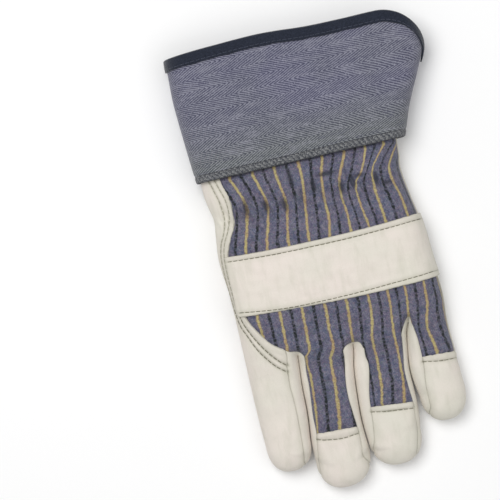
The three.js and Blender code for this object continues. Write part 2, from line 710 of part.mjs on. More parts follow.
// Welt: a half-round bead along the seam at the foot of the two middle finger fronts
function weltSolid(hand, normals) {
  const line = [1, 2].flatMap((n) => {
    const seamFrom = n === 1 ? FINGERS[n].seams[0] : 0;
    const seamTo = n === 1 ? FINGERS[n].columns.length - 1 : FINGERS[n].seams[1];
    const columns = [...Array(seamTo - seamFrom + 1).keys()].map((i) => i + seamFrom);
    const own = columns.filter((column) => n === 1 || column > 0);
    return own.map((column) => hand.at(n, FORK_ROW, column, -1));
  });
  const [aside, up] = [WELT.halfWidth * WELT.shoulderOut, LAY_GAP + WELT.height * WELT.shoulderUp];
  const profile = [
    [-WELT.halfWidth, LAY_GAP], [-aside, up], [0, LAY_GAP + WELT.height],
    [aside, up], [WELT.halfWidth, LAY_GAP],
  ];
  const positions = line.flatMap((i, n) => {
    const before = hand.skin.points[line[Math.max(n - 1, 0)]];
    const after = hand.skin.points[line[Math.min(n + 1, line.length - 1)]];
    const toTip = new THREE.Vector3().subVectors(after, before).cross(normals[i]).normalize();
    return profile.map(([across, out]) =>
      hand.skin.points[i].clone().addScaledVector(toTip, across).addScaledVector(normals[i], out));
  });
  const size = profile.length;
  const index = [];
  for (let n = 0; n + 1 < line.length; n += 1) {
    profile.forEach((_, i) => {
      const [a, b] = [n * size + i, n * size + ((i + 1) % size)];
      index.push(a, b, b + size, a, b + size, a + size);
    });
  }
  const end = (line.length - 1) * size;
  for (let i = 1; i + 1 < size; i += 1) {
    index.push(0, i + 1, i, end, end + i, end + i + 1);
  }
  return solid(positions, index);
}

// Assembly

const LOOKS = {
  leather: { color: IVORY, roughness: 0.75, metalness: 0 },
  striped: { color: STRIPED_CLOTH, roughness: 0.95, metalness: 0 },
  cuffCloth: { color: CUFF_CLOTH, roughness: 0.95, metalness: 0 },
  tape: { color: NAVY, roughness: 0.85, metalness: 0 },
  welt: { color: WELT_GREY, roughness: 0.7, metalness: 0 },
};

const glove = new THREE.Group();

function add(name, geometry, look) {
  const mesh = new THREE.Mesh(geometry, new THREE.MeshStandardMaterial(LOOKS[look]));
  mesh.name = name;
  glove.add(mesh);
}

function addPanels(skin, names, look, options) {
  const normals = skin.normals();
  names.forEach((name) => add(name, panelSolid(skin, normals, name, options), look));
}

const hand = makeHand();
addPanels(hand.skin, ['back_panel'], 'striped');
addPanels(hand.skin, [
  'palm_leather', 'finger_front_middle', 'finger_front_ring', 'tip_middle', 'tip_ring', 'tip_little',
  ...Object.values(FORKS),
], 'leather');
add('finger_welt', weltSolid(hand, hand.skin.normals()), 'welt');
addPanels(makeThumb(), ['thumb_back', 'thumb_front'], 'leather');
addPanels(makeStrap(), ['knuckle_strap'], 'leather', { lift: WALL + LAY_GAP, inset: 0 });
const cuff = makeCuff();
addPanels(cuff.skin, ['cuff'], 'cuffCloth', { wall: CUFF_WALL, inset: 0 });
add('cuff_binding', bindingSolid(cuff, cuff.skin.normals()), 'tape');
addPanels(makePatch(), ['pulse_patch'], 'leather', { lift: WALL + LAY_GAP, inset: 0 });

// The origin is under the middle of the glove, on the ground
const extent = new THREE.Box3().setFromObject(glove);
const middle = extent.getCenter(new THREE.Vector3());
glove.position.set(-middle.x, -middle.y, -extent.min.z);

export default glove;
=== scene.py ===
import math

import bpy
import numpy as np
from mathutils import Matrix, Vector
from mathutils.bvhtree import BVHTree
from mathutils.kdtree import KDTree


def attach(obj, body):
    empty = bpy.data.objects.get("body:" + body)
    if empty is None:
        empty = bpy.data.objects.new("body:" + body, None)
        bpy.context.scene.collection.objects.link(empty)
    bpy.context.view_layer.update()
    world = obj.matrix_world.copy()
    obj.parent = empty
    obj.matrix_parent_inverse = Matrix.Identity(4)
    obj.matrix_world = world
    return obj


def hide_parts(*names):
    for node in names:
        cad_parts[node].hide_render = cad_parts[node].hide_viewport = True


# A leather palm work glove for the left hand, lying palm down with its thumb folded under the palm.
# Shapes are in millimetres until they become meshes. +X runs from the thumb side to the little
# finger, +Y from the fingertips to the cuff, and +Z up. Tables of a line hold rows of (y, x).

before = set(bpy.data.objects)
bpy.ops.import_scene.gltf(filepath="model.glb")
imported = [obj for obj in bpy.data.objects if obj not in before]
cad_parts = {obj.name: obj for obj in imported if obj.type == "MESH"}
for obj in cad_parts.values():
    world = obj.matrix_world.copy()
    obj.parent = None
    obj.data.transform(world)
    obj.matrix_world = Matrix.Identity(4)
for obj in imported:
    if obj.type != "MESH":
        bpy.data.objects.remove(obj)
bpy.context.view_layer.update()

ORIGIN = np.array([-0.052, 0.4355, 0.0])
MM = 0.001
LOWEST = 0.02
FAR = 50.0
CLOSE = 0.01
TINY = 1e-9
SHARP_ANGLE = math.radians(55)
SEAM_PITCH = 1.5

# Fineness of the skin: steps in each row and column of the tables
ROW_STEPS = 8
COLUMN_STEPS = 7
THUMB_STEPS = 8
STRAP_STEPS = (190, 62)
CUFF_STEPS = (360, 76)
PATCH_STEPS = (70, 56)

# Outline and heights of the hand
EDGE_ROUND = 14
FORK_ROUND = 6.5
FORK_ROUND_END = {"start": 0.5, "over": 3}
FORK_LIFT = 2.4
ROUND_POWER = 2.2
FLANK = 13
FINGER_CLEARANCE = (0.1, 0.45)
WRIST_Y = 64
FORK_Y = {
    "thumb_side": -14, "index_middle": -49, "middle_ring": -49.7, "ring_little": -42.5, "little_side": -46,
}
CROTCH_Y = {
    "thumb_side": -19, "index_middle": -52.4, "middle_ring": -53.1, "ring_little": -46, "little_side": -50,
}
FORK_LINE_END = (-112, 12)
LINES = {
    "thumb_side": [
        (64, -69.2), (46, -68.8), (35, -66.8), (26, -67.7), (14, -69.1), (5, -68.9),
        (-6, -67.8), (-20, -67.3), (-77, -67.7), (-104, -67.1),
    ],
    "index_middle": [(64, -34.5), (-30, -36.2), (-52.4, -36.9), (-70, -38.2), (-86, -38.7), (-104, -40.6)],
    "middle_ring": [(64, -6.5), (-30, -4.6), (-53, -4.2), (-67, -6.8), (-84, -8.4), (-98, -9), (-116, -8)],
    "ring_little": [
        (64, 21.5), (-30, 29), (-46, 30.2), (-52, 27.9), (-63, 26), (-72, 24.8), (-80, 24.7), (-110, 25.4),
    ],
    "little_side": [
        (64, 47.3), (48, 46.4), (42, 45.4), (35, 45.9), (24, 47.5), (8, 50.1),
        (-15, 51.6), (-34, 53.2), (-53, 52.2), (-72, 53.2), (-92, 54.4),
    ],
}

# The ring and little fingers draw back from the line between them, right and left of it
APART = {
    ("ring", -1): [(-92, 0), (-103, 0.8), (-110, 2)],
    ("little", 1): [(-78, 0), (-85, 0.7), (-91, 1.6)],
}
WRAP_EDGE = [
    (64, -58), (55, -57.9), (46, -55.5), (37, -55.4), (29, -56.5), (22, -60), (13, -63.7), (-12, -64.6),
]
PARTING_THUMB_SIDE = [(64, 13.5), (45, 13.2), (-12, 12.8), (-30, 11.4), (-52, 10), (-85, 9), (-130, 8)]
PARTING_LITTLE_SIDE = [(64, 13.5), (40, 12), (0, 10.5), (-50, 9.5), (-85, 9), (-130, 8)]
PARTING = {"start": -68, "over": 118}
TOP = [
    (64, 23.9), (56, 24.6), (45, 25.8), (12, 26.8), (-25, 25.6),
    (-50, 22.4), (-62, 20.6), (-85, 19.3), (-105, 18.4), (-130, 17),
]
UNDERSIDE = [(64, 4.2), (45, 4.8), (0, 4), (-45, 3.5), (-60, 2.2), (-80, 0.8), (-95, 0.2), (-130, 0.2)]
CROWN = {"height": 1.6, "centre": -8, "half_width": 60, "start": -70, "over": 30}
GATHER = {
    "y": 34, "width": 7, "depth": 2.2, "ripple": 1.3, "pitch": 11.6,
    "pucker": 0.55, "pucker_pitch": 4.7, "pucker_lean": 0.35, "pucker_drift": (14, 31),
}

# Uneven swells of each surface: height, size, seed
WAVE_STRETCH = (0.7, 1.5)
SWELLS = {
    "back": [(0.22, 17, 3), (0.12, 8, 4)], "palm": [(0.25, 16, 5)], "thumb": [(0.15, 14, 8)],
    "strap": [(0.18, 15, 11), (0.1, 7, 12)], "strap_edge": [(0.09, 3, 43)],
    "cuff": [(0.35, 38, 21), (0.12, 13, 22)], "torn_edge": [(0.13, 2.6, 41)],
}

# Soft dents: side, x, y, half length along x and y, depth. The narrow ones are creases, with painted shade
# in their foot
DENTS = [
    (1, -55, -84, 12, 7, 0.9), (1, -24, -61, 13, 6, 1.5), (1, 9, -62, 13, 6, 1.5), (1, 41, -57, 11, 6, 1.3),
    (1, 5, -40, 42, 5, 0.7), (1, -48, 46, 16, 6, 0.8),
    (1, 2.2, 46.6, 5.5, 1.2, 0.9), (1, -6.3, 42, 1.4, 4, 1), (1, -18, 47.5, 1.5, 4, 0.7),
    (1, 9.5, 37, 1.4, 3.5, 0.9), (1, 16.3, 38.5, 1.4, 3.5, 1.1), (1, 21, 41.5, 3, 1.2, 0.7),
    (1, 30, 37.5, 1.4, 4, 0.9), (1, 36, 34, 3, 1.2, 0.7), (1, -47, 37.5, 1.4, 5, 0.8),
    (1, -35.5, 36, 1.4, 4, 0.8), (1, -24.5, 34.5, 1.4, 4, 0.8),
    (-1, 34, -22, 13, 6, 1.2), (-1, 38, 22, 10, 7, 1.1), (-1, -54, -66, 13, 7, 1.2),
    (-1, -24, -78, 13, 7, 1.2), (-1, 8, -78, 13, 7, 1.2), (-1, 40, -70, 12, 7, 1.1),
]

# Widest dent, in millimetres, whose foot gets painted crease shade
CREASE_WIDTH = 2

# Fingers from the thumb side on: how far across its rows each column lies, the columns of the two side
# seams, and the table rows before and after the tip's seam. The forks end that many rows past the rest
FINGERS = [
    {
        "name": "index", "lines": ("thumb_side", "index_middle"),
        "columns": [0, 0.03, 0.1, 0.2, 0.4, 0.58, 0.755, 0.92, 1], "seams": (0, 6),
        "tip_seam": (-84, -84), "round_y": -101, "tip": (-54, -117.3), "rows": (5, 1),
        "fork_end": (3, 3),
    },
    {
        "name": "middle", "lines": ("index_middle", "middle_ring"),
        "columns": [0, 0.04, 0.12, 0.3, 0.5, 0.7, 0.84, 0.945, 1], "seams": (2, 6),
        "tip_seam": (-98.8, -100.2), "round_y": -116, "tip": (-25.2, -133.4), "rows": (5, 2),
        "fork_end": (1, 1),
    },
    {
        "name": "ring", "lines": ("middle_ring", "ring_little"),
        "columns": [0, 0.07, 0.25, 0.45, 0.65, 0.82, 0.92, 1], "seams": (2, 6),
        "tip_seam": (-90.2, -93.6), "round_y": -110, "tip": (7.8, -127.4), "rows": (4, 2),
        "fork_end": (1, 3),
    },
    {
        "name": "little", "lines": ("ring_little", "little_side"),
        "columns": [0, 0.08, 0.28, 0.5, 0.72, 0.88, 0.97, 1], "seams": (2, 7),
        "tip_seam": (-68.6, -70.3), "round_y": -91, "tip": (40.4, -108.4), "rows": (3, 2),
        "fork_end": (2, 1),
    },
]
TIP_ANGLES = [0, 22, 44, 63, 77]
TIP_POWER = 2 / 2.3
TIP_BOW_POWER = 3
PALM_ROWS = [0, 0.06, 0.12, 0.18, 0.24, 0.3, 0.36, 0.43, 0.51, 0.6, 0.69, 0.78, 0.86, 0.93, 1]
FORK_ROW = len(PALM_ROWS) - 1
CROTCH_ROW = FORK_ROW + 1
WRAP_COLUMN = 3
WRAP_ROUNDS = 24
MOUTH = {"column": 5, "edge": 0.5, "beside": 0.36, "first_row": 4, "last_row": 13}
SLANT = {"back_reach": 1.08, "palm_power": 2.5, "fade_rows": 4}

# Seams of the finger backs, left and right of each cloth or leather strip
SEAM_LINES = {
    ("index", 1): [
        (-51.5, -43.2), (-60, -44.6), (-68.8, -45.2), (-76.9, -45), (-85.8, -44.9), (-96.6, -45.2),
        (-106.4, -45.9), (-112, -46.6), (-116.4, -47.8),
    ],
    ("middle", 0): [
        (-54.1, -33.9), (-61.3, -34.6), (-69.1, -34.7), (-78, -35.6), (-89, -36.7), (-98.4, -36.8),
        (-110.2, -38.6), (-117.7, -39.9),
    ],
    ("middle", 1): [
        (-54.4, -10.8), (-68.2, -12.8), (-82.3, -13.7), (-91, -12.9), (-99.7, -12.1), (-111.1, -12.2),
        (-119.8, -13.6),
    ],
    ("ring", 0): [
        (-56, 1.3), (-62.4, 1.9), (-71.4, 0.8), (-85, -1.9), (-90.5, -2.5), (-101.7, -3.5), (-112.6, -5.4),
    ],
    ("ring", 1): [
        (-46, 24.6), (-56.7, 23.5), (-70.6, 22), (-84.8, 22.1), (-93.5, 22.7), (-102.2, 22), (-106.9, 21.8),
        (-111.9, 21.2), (-119.5, 19.1), (-124.5, 17),
    ],
    ("little", 0): [(-46.1, 30.9), (-53.1, 32.8), (-61.7, 33.1), (-75.9, 32.7), (-86.9, 31.3), (-100, 31.2)],
}
FORKS = {line: "fourchette_" + line for line in ("index_middle", "middle_ring", "ring_little")}
SEAM_SHARE = (0.03, 0.97)
SEAM_ROUNDS = 5
SEAM_END = (0.008, 0.992)
SEAM_RUN_OUT = 1.1
SEAM_FADE_ROWS = 2

# The cloth's edge arches over each pair of finger sides: rows of (x, y), and how far rows follow it
ARCHES = {
    "index_middle": [(-45, -48.2), (-40, -49.4), (-36, -50.8), (-33.7, -53.6)],
    "middle_ring": [
        (-11.4, -58), (-10.8, -55.6), (-8.4, -53.2), (-4.8, -52.2), (-1.8, -52.9), (-0.1, -54.8),
        (0.9, -57.8),
    ],
    "ring_little": [(23.2, -57), (25, -52), (27.6, -47.6), (29.8, -45.3), (31.4, -45.5), (32.8, -49.5)],
}
ARCH_FADE = 8
ARCH_ROWS = {9: 0, 10: 0.1, 11: 0.28, 12: 0.5, 13: 0.78, 14: 1, 15: 0.86, 16: 0.5, 17: 0.2, 18: 0}

# Thumb sections from its mouth to its tip: near x, near y, far x, far y
THUMB_SECTIONS = [
    (-67.9, -9, -68.6, 45), (-66.6, -9.8, -67, 45.5), (-63.5, -12, -63.8, 46.2), (-59, -15.2, -59, 46.5),
    (-50, -19.3, -49, 46.5), (-38.8, -21.9, -33, 42.5), (-23.1, -28.3, -18.5, 28.5), (-7.4, -35.7, -2, 13.5),
    (3, -38.6, 12, 4), (12.5, -37, 19.8, -3.5), (19.3, -31, 23.2, -11), (22.6, -24.5, 24, -18.5),
]
THUMB_COLUMNS = [0, 0.05, 0.16, 0.33, 0.5, 0.67, 0.84, 0.95, 1]
THUMB = {
    "round": 8, "top": 9.4, "edge": 4.6, "under_palm": 0.4, "root_end": -50, "edge_start": -34,
    "front_first": 4, "wall": 1.2, "lift": 0, "inset": 0.08,
}
PALM_OVER_THUMB = 10.2
THUMB_REACH = {"start": 4, "over": 16}

# Cuff sections: y, left, right, bottom, top
CUFF_SECTIONS = [
    (57.4, -71.5, 52.2, 2.1, 28.2), (61, -71.9, 53.8, 2.1, 28.2), (75.7, -72.9, 59.4, 2.1, 28.4),
    (96, -74, 69.4, 2, 28), (108, -74.4, 74.4, 1.8, 27), (132, -73.4, 75.5, 1.6, 25.5),
]
CUFF_WALL = 1.7
CUFF_SWELL_EDGE = 20
CUFF_PARTING = 13.8
CUFF_RIM = {"y": 131.2, "low": 103.5, "corner_start": 0.82, "power": 2.1, "reach": (-73.5, 75.5)}
CUFF_WAVE = [(-75, -0.8), (-62, 0), (-48, 0.7), (-23, 1.5), (-8, 1), (10, -0.4), (40, -0.6), (75, 0)]
WRIST_SEAM = {"cuff_rows": (2, 4), "bite": 0.6, "heights": (20, 22, 22, 20)}
BINDING = {"wall": 0.9, "width": 6, "overhang": 1.3, "gap": 0.3, "fold_angles": range(0, 181, 20)}
BINDING_BULGE = {"edge_out": 0.15, "edge_in": 0.2, "middle": 0.1}
BINDING_RIPPLE = [(0.12, 3.1, 0), (0.1, 1.7, 1)]
BINDING_ROW = {"down": 4.7, "reach": (-72.5, 72.5), "every": 6}
ROWS_BELOW_RIM = 14
STRAP = {
    "left": -64.6, "top": (12.6, 12.6), "bottom": (-22.8, -25.4), "sag": 2, "inset": 0.05,
    "crowd": (0.75, 0.6), "wall": 1.4, "lift": 1.5,
}
PATCH = {
    "centre": 4, "half_width": 27.5, "corner": 14.5, "bottom": 58.2, "top": 90.2, "inset": 3,
    "cross_rows": (59.9, 63.2), "cross_sag": 0.2, "wall": 1.2, "lift": 1.8,
}
WELT = {"radius": 1.6, "lift": 0.5, "end_power": 16, "end_share": 0.05, "sides": 10, "squeeze": 0.8}

# Heights to add near the edge of a panel: distance from the edge, height
PROFILES = {
    "valley": [(0, -0.8), (0.4, -0.5), (1.0, -0.25), (2.2, -0.06), (3.4, 0)],
    "lap": [(0, -0.1), (0.25, 0.3), (1.0, 0.6), (2.2, 0.45), (3.2, 0.1), (4.4, 0)],
    "under": [(0, -0.85), (0.8, -0.55), (2.0, -0.12), (3.0, 0)],
    "strap": [(0, -0.8), (0.25, -0.1), (0.8, 0.3), (1.8, 0.3), (3, 0)],
    "patch": [(0, -0.5), (0.3, -0.1), (1, 0.1), (2.2, 0.1), (3, -0.3), (3.8, 0), (5, 0)],
    "hem": [(0, -0.5), (0.2, -0.05), (0.7, 0.12), (3.4, 0.08), (4.1, -0.45), (4.5, -0.45), (5.2, 0)],
}
GROOVES = {"back": (-0.75, 0.95), "strap": (-0.7, 0.9)}

# Panels: how far each stands off the skin, their walls, and their edges, torn where leather laps cloth
PANEL_LIFT = {"back_panel": -0.2, "palm_leather": 0.1, "finger_front_middle": 0.1, "finger_front_ring": 0.1}
PANEL_LIFT |= {name: 0.2 for name in ("tip_middle", "tip_ring", "tip_little", *FORKS.values())}
CLOTH_WALL = 1.0
LEATHER_WALL = 1.2
EDGE_INSET = 0.04
TORN_INSET = -0.22
LAP_FADE = 2.5
SIDE_RELIEF = {"share": 0.3, "over": 4}
FLANK_SAMPLES = {"count": 200, "power": 3}
STRIPE_LEAST = 2

# Weave of the cuff in millimetres, and the coarse band and row of stitches along its hem
HERRINGBONE = {"band": 7, "rise": 2.15, "pitch": 2.8, "first": 11.8, "tilt": 0.026}
HEM = {"fade": 4.1, "height": 4.5, "lean": 1.1, "pitch": 3.2, "row": 4.3, "reach": (-70, 51.5), "points": 12}

# Stitches: their measures, and the shape of one as shares of its length and of its radius
STITCH = {"length": 2.6, "gap": 0.6, "radius": 0.22, "proud": 0.1, "sink": 0.14, "sides": 6, "spots": 4}
STITCH_SHAPE = [(0, 0.65), (0.14, 1), (0.5, 1), (0.86, 1), (1, 0.65)]

# Heights in metres from which a stitch is laid on the glove, on top and below
RAY_START = {1: 0.08, -1: -0.02}

# Threads: their dark and their light colour
THREADS = {
    "olive": ((84, 81, 64), (124, 120, 98)), "pale": ((140, 138, 118), (172, 169, 150)),
    "grey": ((108, 104, 88), (142, 138, 120)), "dark": ((38, 40, 46), (72, 74, 80)),
    "navy": ((34, 40, 54), (64, 70, 88)),
}

# Camera above the glove, lights and floor, in metres
CAMERA = {"x": -0.05011, "y": 0.01406, "plane": 0.014, "distance": 1.5, "width": 0.290, "turn": -13}
LIGHTS = {"key": ((-0.35, 0.45, 1.3), 0.8, 12.5), "fill": ((0.6, -0.4, 1.3), 1.2, 5)}
LIGHT_TARGET = (0, 0, 0.01)
WORLD_STRENGTH = 0.36
FLOOR_HALF = 4.0

# Lines of stitches: rows of (x, y)
STITCHES_ON_BACK = {
    "wrap_outer": [
        (-64.6, 57.8), (-62.4, 50), (-60.8, 42.5), (-60.5, 33.3), (-62.8, 26), (-65.7, 20), (-67.2, 13.6),
        (-67.6, 4), (-67.2, -8), (-66.6, -18),
    ],
    "wrap_inner": [
        (-61.2, 57.8), (-59.4, 51.5), (-57.5, 44.5), (-57.2, 35.5), (-60, 27.1), (-63.6, 20), (-65.4, 13),
        (-65.9, 3), (-65.7, -8), (-65.2, -18),
    ],
    "index_outer": [
        (-66.6, -18), (-65.4, -27.7), (-62.5, -35.2), (-59, -43.3), (-54.6, -50.2), (-50, -55.8),
        (-44.6, -60.2),
    ],
    "index_inner": [
        (-65.2, -18), (-63.2, -27.6), (-58.6, -37.9), (-53.3, -46.4), (-48.3, -52.6), (-43.4, -56.8),
    ],
    "tip_middle": [(-37.2, -102), (-30.7, -103.6), (-21.8, -104.5), (-12, -103.7)],
    "tip_ring": [(-3.2, -93.4), (9, -95.4), (23, -97)],
    "tip_little": [(32.4, -71.8), (43, -73.4), (53, -74.2)],
}
STITCHES_ON_STRAP = {
    "strap_top": [(-64.2, 9.7), (-40, 8.2), (-21.7, 7.7), (10, 7.6), (50.6, 9)],
    "strap_bottom": [(-64.2, -20.4), (-46, -22.8), (-29.2, -24), (5, -24.2), (52.2, -22.2)],
}

# Yellow stripes of the cloth from the thumb side on
STRIPES = [
    [(56.2, -52.3), (39, -46.6), (27, -48.8), (13, -52.6), (-26.4, -54.8), (-33.4, -54.2), (-60, -53)],
    [
        (55.4, -38.8), (37.3, -34.5), (26.4, -36.4), (12.4, -40.2), (-27.2, -41.4), (-39.6, -41.9),
        (-47.6, -42.1),
    ],
    [
        (56.4, -26.1), (48.9, -25.5), (34.8, -23.6), (23.9, -25.6), (11.8, -27.6), (-29, -28.7),
        (-43.7, -29.3), (-50.4, -29.7), (-54.3, -32.8), (-65.7, -32.6), (-83.6, -33.9), (-97.9, -36.1),
    ],
    [
        (56.6, -11.7), (44.6, -11.7), (29.1, -13.6), (11.3, -15.7), (-29.9, -15.2), (-42.3, -15.8),
        (-52.5, -15.9), (-57.5, -18.7), (-71, -19.6), (-86.6, -20.9), (-99.9, -22.9),
    ],
    [
        (56.1, 2.4), (46.5, -0.4), (34.3, -1.5), (20.6, -1.8), (10.8, -3.6), (-29.4, -2.6), (-40.6, -3.5),
        (-53, -4.1),
    ],
    [
        (55.4, 15.3), (43.1, 9.6), (33.1, 8.4), (21.6, 9.2), (11.3, 9.1), (-30.1, 10.3), (-41.3, 9.5),
        (-52.1, 7), (-63.5, 7.2), (-80.4, 6.2), (-89, 4.2),
    ],
    [
        (55.9, 27.9), (43.4, 22.8), (37.7, 18), (27.6, 17.4), (12.3, 19.6), (-32.7, 21.7), (-49.4, 20.2),
        (-64.2, 20.1), (-80, 19.3), (-92, 17.1),
    ],
    [
        (55.7, 38.7), (43.2, 29), (30.9, 27.9), (20.4, 28.8), (11.1, 29.6), (-30, 31.8), (-45, 30.5),
        (-70, 30.2),
    ],
    [
        (56, 47.5), (44.2, 39.4), (37.5, 38.5), (24.3, 41.7), (12.6, 43), (-37.6, 42.8), (-51.6, 39.5),
        (-62.2, 41.1), (-69.2, 41.8),
    ],
    [(56, 60), (44, 47), (12.6, 49.6), (-37, 52.5), (-45.4, 51.8), (-59.1, 52.1), (-67.3, 53)],
]


# Curves and distances

def along(rows, at):
    """A smooth curve through rows of (position, value), held level past both ends."""
    place, value = (np.array(column, float) for column in zip(*sorted(rows)))
    at = np.clip(np.asarray(at, float), place[0], place[-1])
    i = np.clip(np.searchsorted(place, at) - 1, 0, len(place) - 2)
    span = place[i + 1] - place[i]

    def slope(a, b):
        return (value[b] - value[a]) / (place[b] - place[a])

    t = (at - place[i]) / span
    leave = slope(np.maximum(i - 1, 0), i + 1) * span
    arrive = slope(i, np.minimum(i + 2, len(place) - 1)) * span
    rise = value[i + 1] - value[i]
    bend = 3 * rise - 2 * leave - arrive
    twist = leave + arrive - 2 * rise
    return value[i] + t * (leave + t * (bend + t * twist))


def profile(rows, at):
    return np.interp(at, *zip(*rows))


def steps(spaces, each):
    """Positions along a table whose spaces are divided into equal steps."""
    return np.arange(spaces * each + 1) / each


def lengths_along(line):
    """How far along a line each of its points lies."""
    return np.concatenate([[0], np.cumsum(np.linalg.norm(np.diff(line, axis=0), axis=1))])


def resample(line, pitch):
    """Points a pitch apart on a smooth curve through the line's points, ends included."""
    line = np.asarray(line, float)
    length = lengths_along(line)
    at = np.linspace(0, length[-1], max(2, round(length[-1] / pitch) + 1))
    return np.stack([along(list(zip(length, values)), at) for values in line.T], 1)


def mix(a, b, t):
    return a + (b - a) * t


def smooth(t):
    t = np.clip(t, 0, 1)
    return t * t * (3 - 2 * t)


def rounded(depth, radius):
    rest = 1 - np.clip(depth / radius, 0, 1)
    return (1 - rest ** ROUND_POWER) ** (1 / ROUND_POWER)


def distance_to(line, x, y, chunk=4000):
    """Shortest distance from points to a line of points."""
    line = np.asarray(line, float)
    start, step = line[:-1], np.diff(line, axis=0)
    length = np.maximum((step ** 2).sum(1), TINY)
    flat = np.stack([np.ravel(x), np.ravel(y)], 1)
    best = np.empty(len(flat))
    for first in range(0, len(flat), chunk):
        to = flat[first:first + chunk, None, :] - start
        t = np.clip((to * step).sum(2) / length, 0, 1)
        best[first:first + chunk] = np.sqrt(((to - t[..., None] * step) ** 2).sum(2)).min(1)
    return best.reshape(np.shape(x))


def distance_to_any(lines, x, y):
    return np.min([distance_to(line, x, y) for line in lines], axis=0)


def inside(line, x, y):
    result = np.zeros(np.shape(x), bool)
    for (ax, ay), (bx, by) in zip(line, np.roll(line, -1, axis=0)):
        if ay != by:
            result ^= ((ay > y) != (by > y)) & (x < ax + (bx - ax) * (y - ay) / (by - ay))
    return result


def wobble(x, y, size, seed, waves=7):
    """A soft random swell between about -1 and 1, with features about as long as size."""
    random = np.random.default_rng(seed)
    total = 0
    for _ in range(waves):
        turn, phase = random.uniform(0, 2 * math.pi), random.uniform(0, 2 * math.pi)
        across = (x * math.cos(turn) + y * math.sin(turn)) / (size * random.uniform(*WAVE_STRETCH))
        total = total + np.sin(2 * math.pi * across + phase)
    return total / math.sqrt(waves)


def swell(name, x, y, level=0):
    """The uneven relief of a surface. A level of 1 keeps it above the surface."""
    return sum(height * (level + wobble(x, y, size, seed)) for height, size, seed in SWELLS[name])


# Rows and columns of the hand

def last_row(finger):
    return CROTCH_ROW + sum(finger["rows"]) + len(TIP_ANGLES) - 1


def finger_steps(finger):
    return steps(last_row(finger), ROW_STEPS), steps(len(finger["columns"]) - 1, COLUMN_STEPS)


def row_ends(finger, row):
    """Left x and y, right x and y, and bow of the rows of one finger with its part of the palm."""
    row = np.asarray(row, float)
    before, after = finger["rows"]
    knots = [FORK_ROW, CROTCH_ROW, CROTCH_ROW + before, CROTCH_ROW + before + after]
    palm = np.interp(row, range(len(PALM_ROWS)), PALM_ROWS)
    clear = np.interp(row, [CROTCH_ROW, CROTCH_ROW + 1, knots[-1]], [0, *FINGER_CLEARANCE])
    ends = []
    for side, line, seam in zip((1, -1), finger["lines"], finger["tip_seam"]):
        beyond = np.interp(row, knots, [FORK_Y[line], CROTCH_Y[line], seam, finger["round_y"]])
        y = np.where(row <= FORK_ROW, mix(WRIST_Y, FORK_Y[line], palm), beyond)
        apart = along(APART[finger["name"], side], y) if (finger["name"], side) in APART else 0
        ends += [along(LINES[line], y) + (clear + apart) * side, y]
    left_x, left_y, right_x, right_y = ends
    tip_x, tip_y = finger["tip"]
    angle = np.radians(np.interp(row - knots[-1], range(len(TIP_ANGLES)), TIP_ANGLES))
    advance = np.sin(angle) ** TIP_POWER
    y = mix(finger["round_y"], tip_y, advance)
    middle = mix((left_x + right_x) / 2, tip_x, advance)
    half = (right_x - left_x) / 2 * np.cos(angle) ** TIP_POWER
    round_end = row > knots[-1]
    left_x, right_x = np.where(round_end, middle - half, left_x), np.where(round_end, middle + half, right_x)
    left_y, right_y = np.where(round_end, y, left_y), np.where(round_end, y, right_y)
    bow = np.where(round_end, (y - tip_y) * advance ** TIP_BOW_POWER, 0)
    return left_x, left_y, right_x, right_y, bow


def slant(share, side):
    """How far along its slant a row of the index's part of the palm has come at a share of its width."""
    if side > 0:
        return np.sin(math.pi / 2 * np.minimum(1, SLANT["back_reach"] * share))
    return share ** SLANT["palm_power"]


def lengthwise(finger, row, share, side):
    """How far from its left end's y to its right end's y a row has come at a share of its width."""
    if finger["name"] != "index":
        return share
    return mix(share, slant(share, side), np.clip((CROTCH_ROW - row) / SLANT["fade_rows"] + 1, 0, 1))


def shares(finger, row, column, side):
    """How far across its row each point lies, from 0 at the left end to 1 at the right."""
    columns = finger["columns"]
    numbers = range(len(columns))
    left_x, left_y, right_x, right_y, _ = row_ends(finger, row)
    plain = np.interp(column, numbers, columns) + 0 * row
    if side > 0:
        knots, moved = [0, 1], [0 * row, 0 * row + 1]
        for end in (0, 1):
            if (finger["name"], end) in SEAM_LINES:
                fork_end = CROTCH_ROW + sum(finger["rows"]) + finger["fork_end"][end]
                run_out = smooth(np.abs(row - fork_end) / SEAM_RUN_OUT)
                share = 0.5 + 0 * row
                for _ in range(SEAM_ROUNDS):
                    crossing = mix(left_y, right_y, lengthwise(finger, row, share, side))
                    at = along(SEAM_LINES[finger["name"], end], crossing)
                    share = np.clip((at - left_x) / (right_x - left_x), *SEAM_SHARE)
                share = mix(SEAM_END[end], share, run_out)
                knots.insert(-1, columns[finger["seams"][end]])
                moved.insert(-1, share)
        fitted = moved[-1]
        for k in reversed(range(len(knots) - 1)):
            t = (plain - knots[k]) / (knots[k + 1] - knots[k])
            fitted = np.where(plain <= knots[k + 1], mix(moved[k], moved[k + 1], t), fitted)
        plain = mix(plain, fitted, np.clip((row - FORK_ROW) / SEAM_FADE_ROWS + 1, 0, 1))
    if finger["name"] != "index":
        return plain
    if side > 0:
        wrap = 0 * row
        for _ in range(WRAP_ROUNDS):
            crossing = mix(left_y, right_y, slant(wrap, side))
            wrap = mix(wrap, (along(WRAP_EDGE, crossing) - left_x) / (right_x - left_x), 0.5)
        seam_column = finger["seams"][1]
        outer = np.interp(column, numbers, columns) / columns[WRAP_COLUMN] * wrap
        inner = mix(wrap, columns[seam_column], (column - WRAP_COLUMN) / (seam_column - WRAP_COLUMN))
        special = np.where(column <= WRAP_COLUMN, outer, np.where(column < seam_column, inner, plain))
    else:
        moved = list(columns)
        moved[MOUTH["column"] - 1:MOUTH["column"] + 1] = [MOUTH["beside"], MOUTH["edge"]]
        special = np.interp(column, numbers, moved) + 0 * row
    return mix(plain, special, np.clip(FORK_ROW - row, 0, 1))


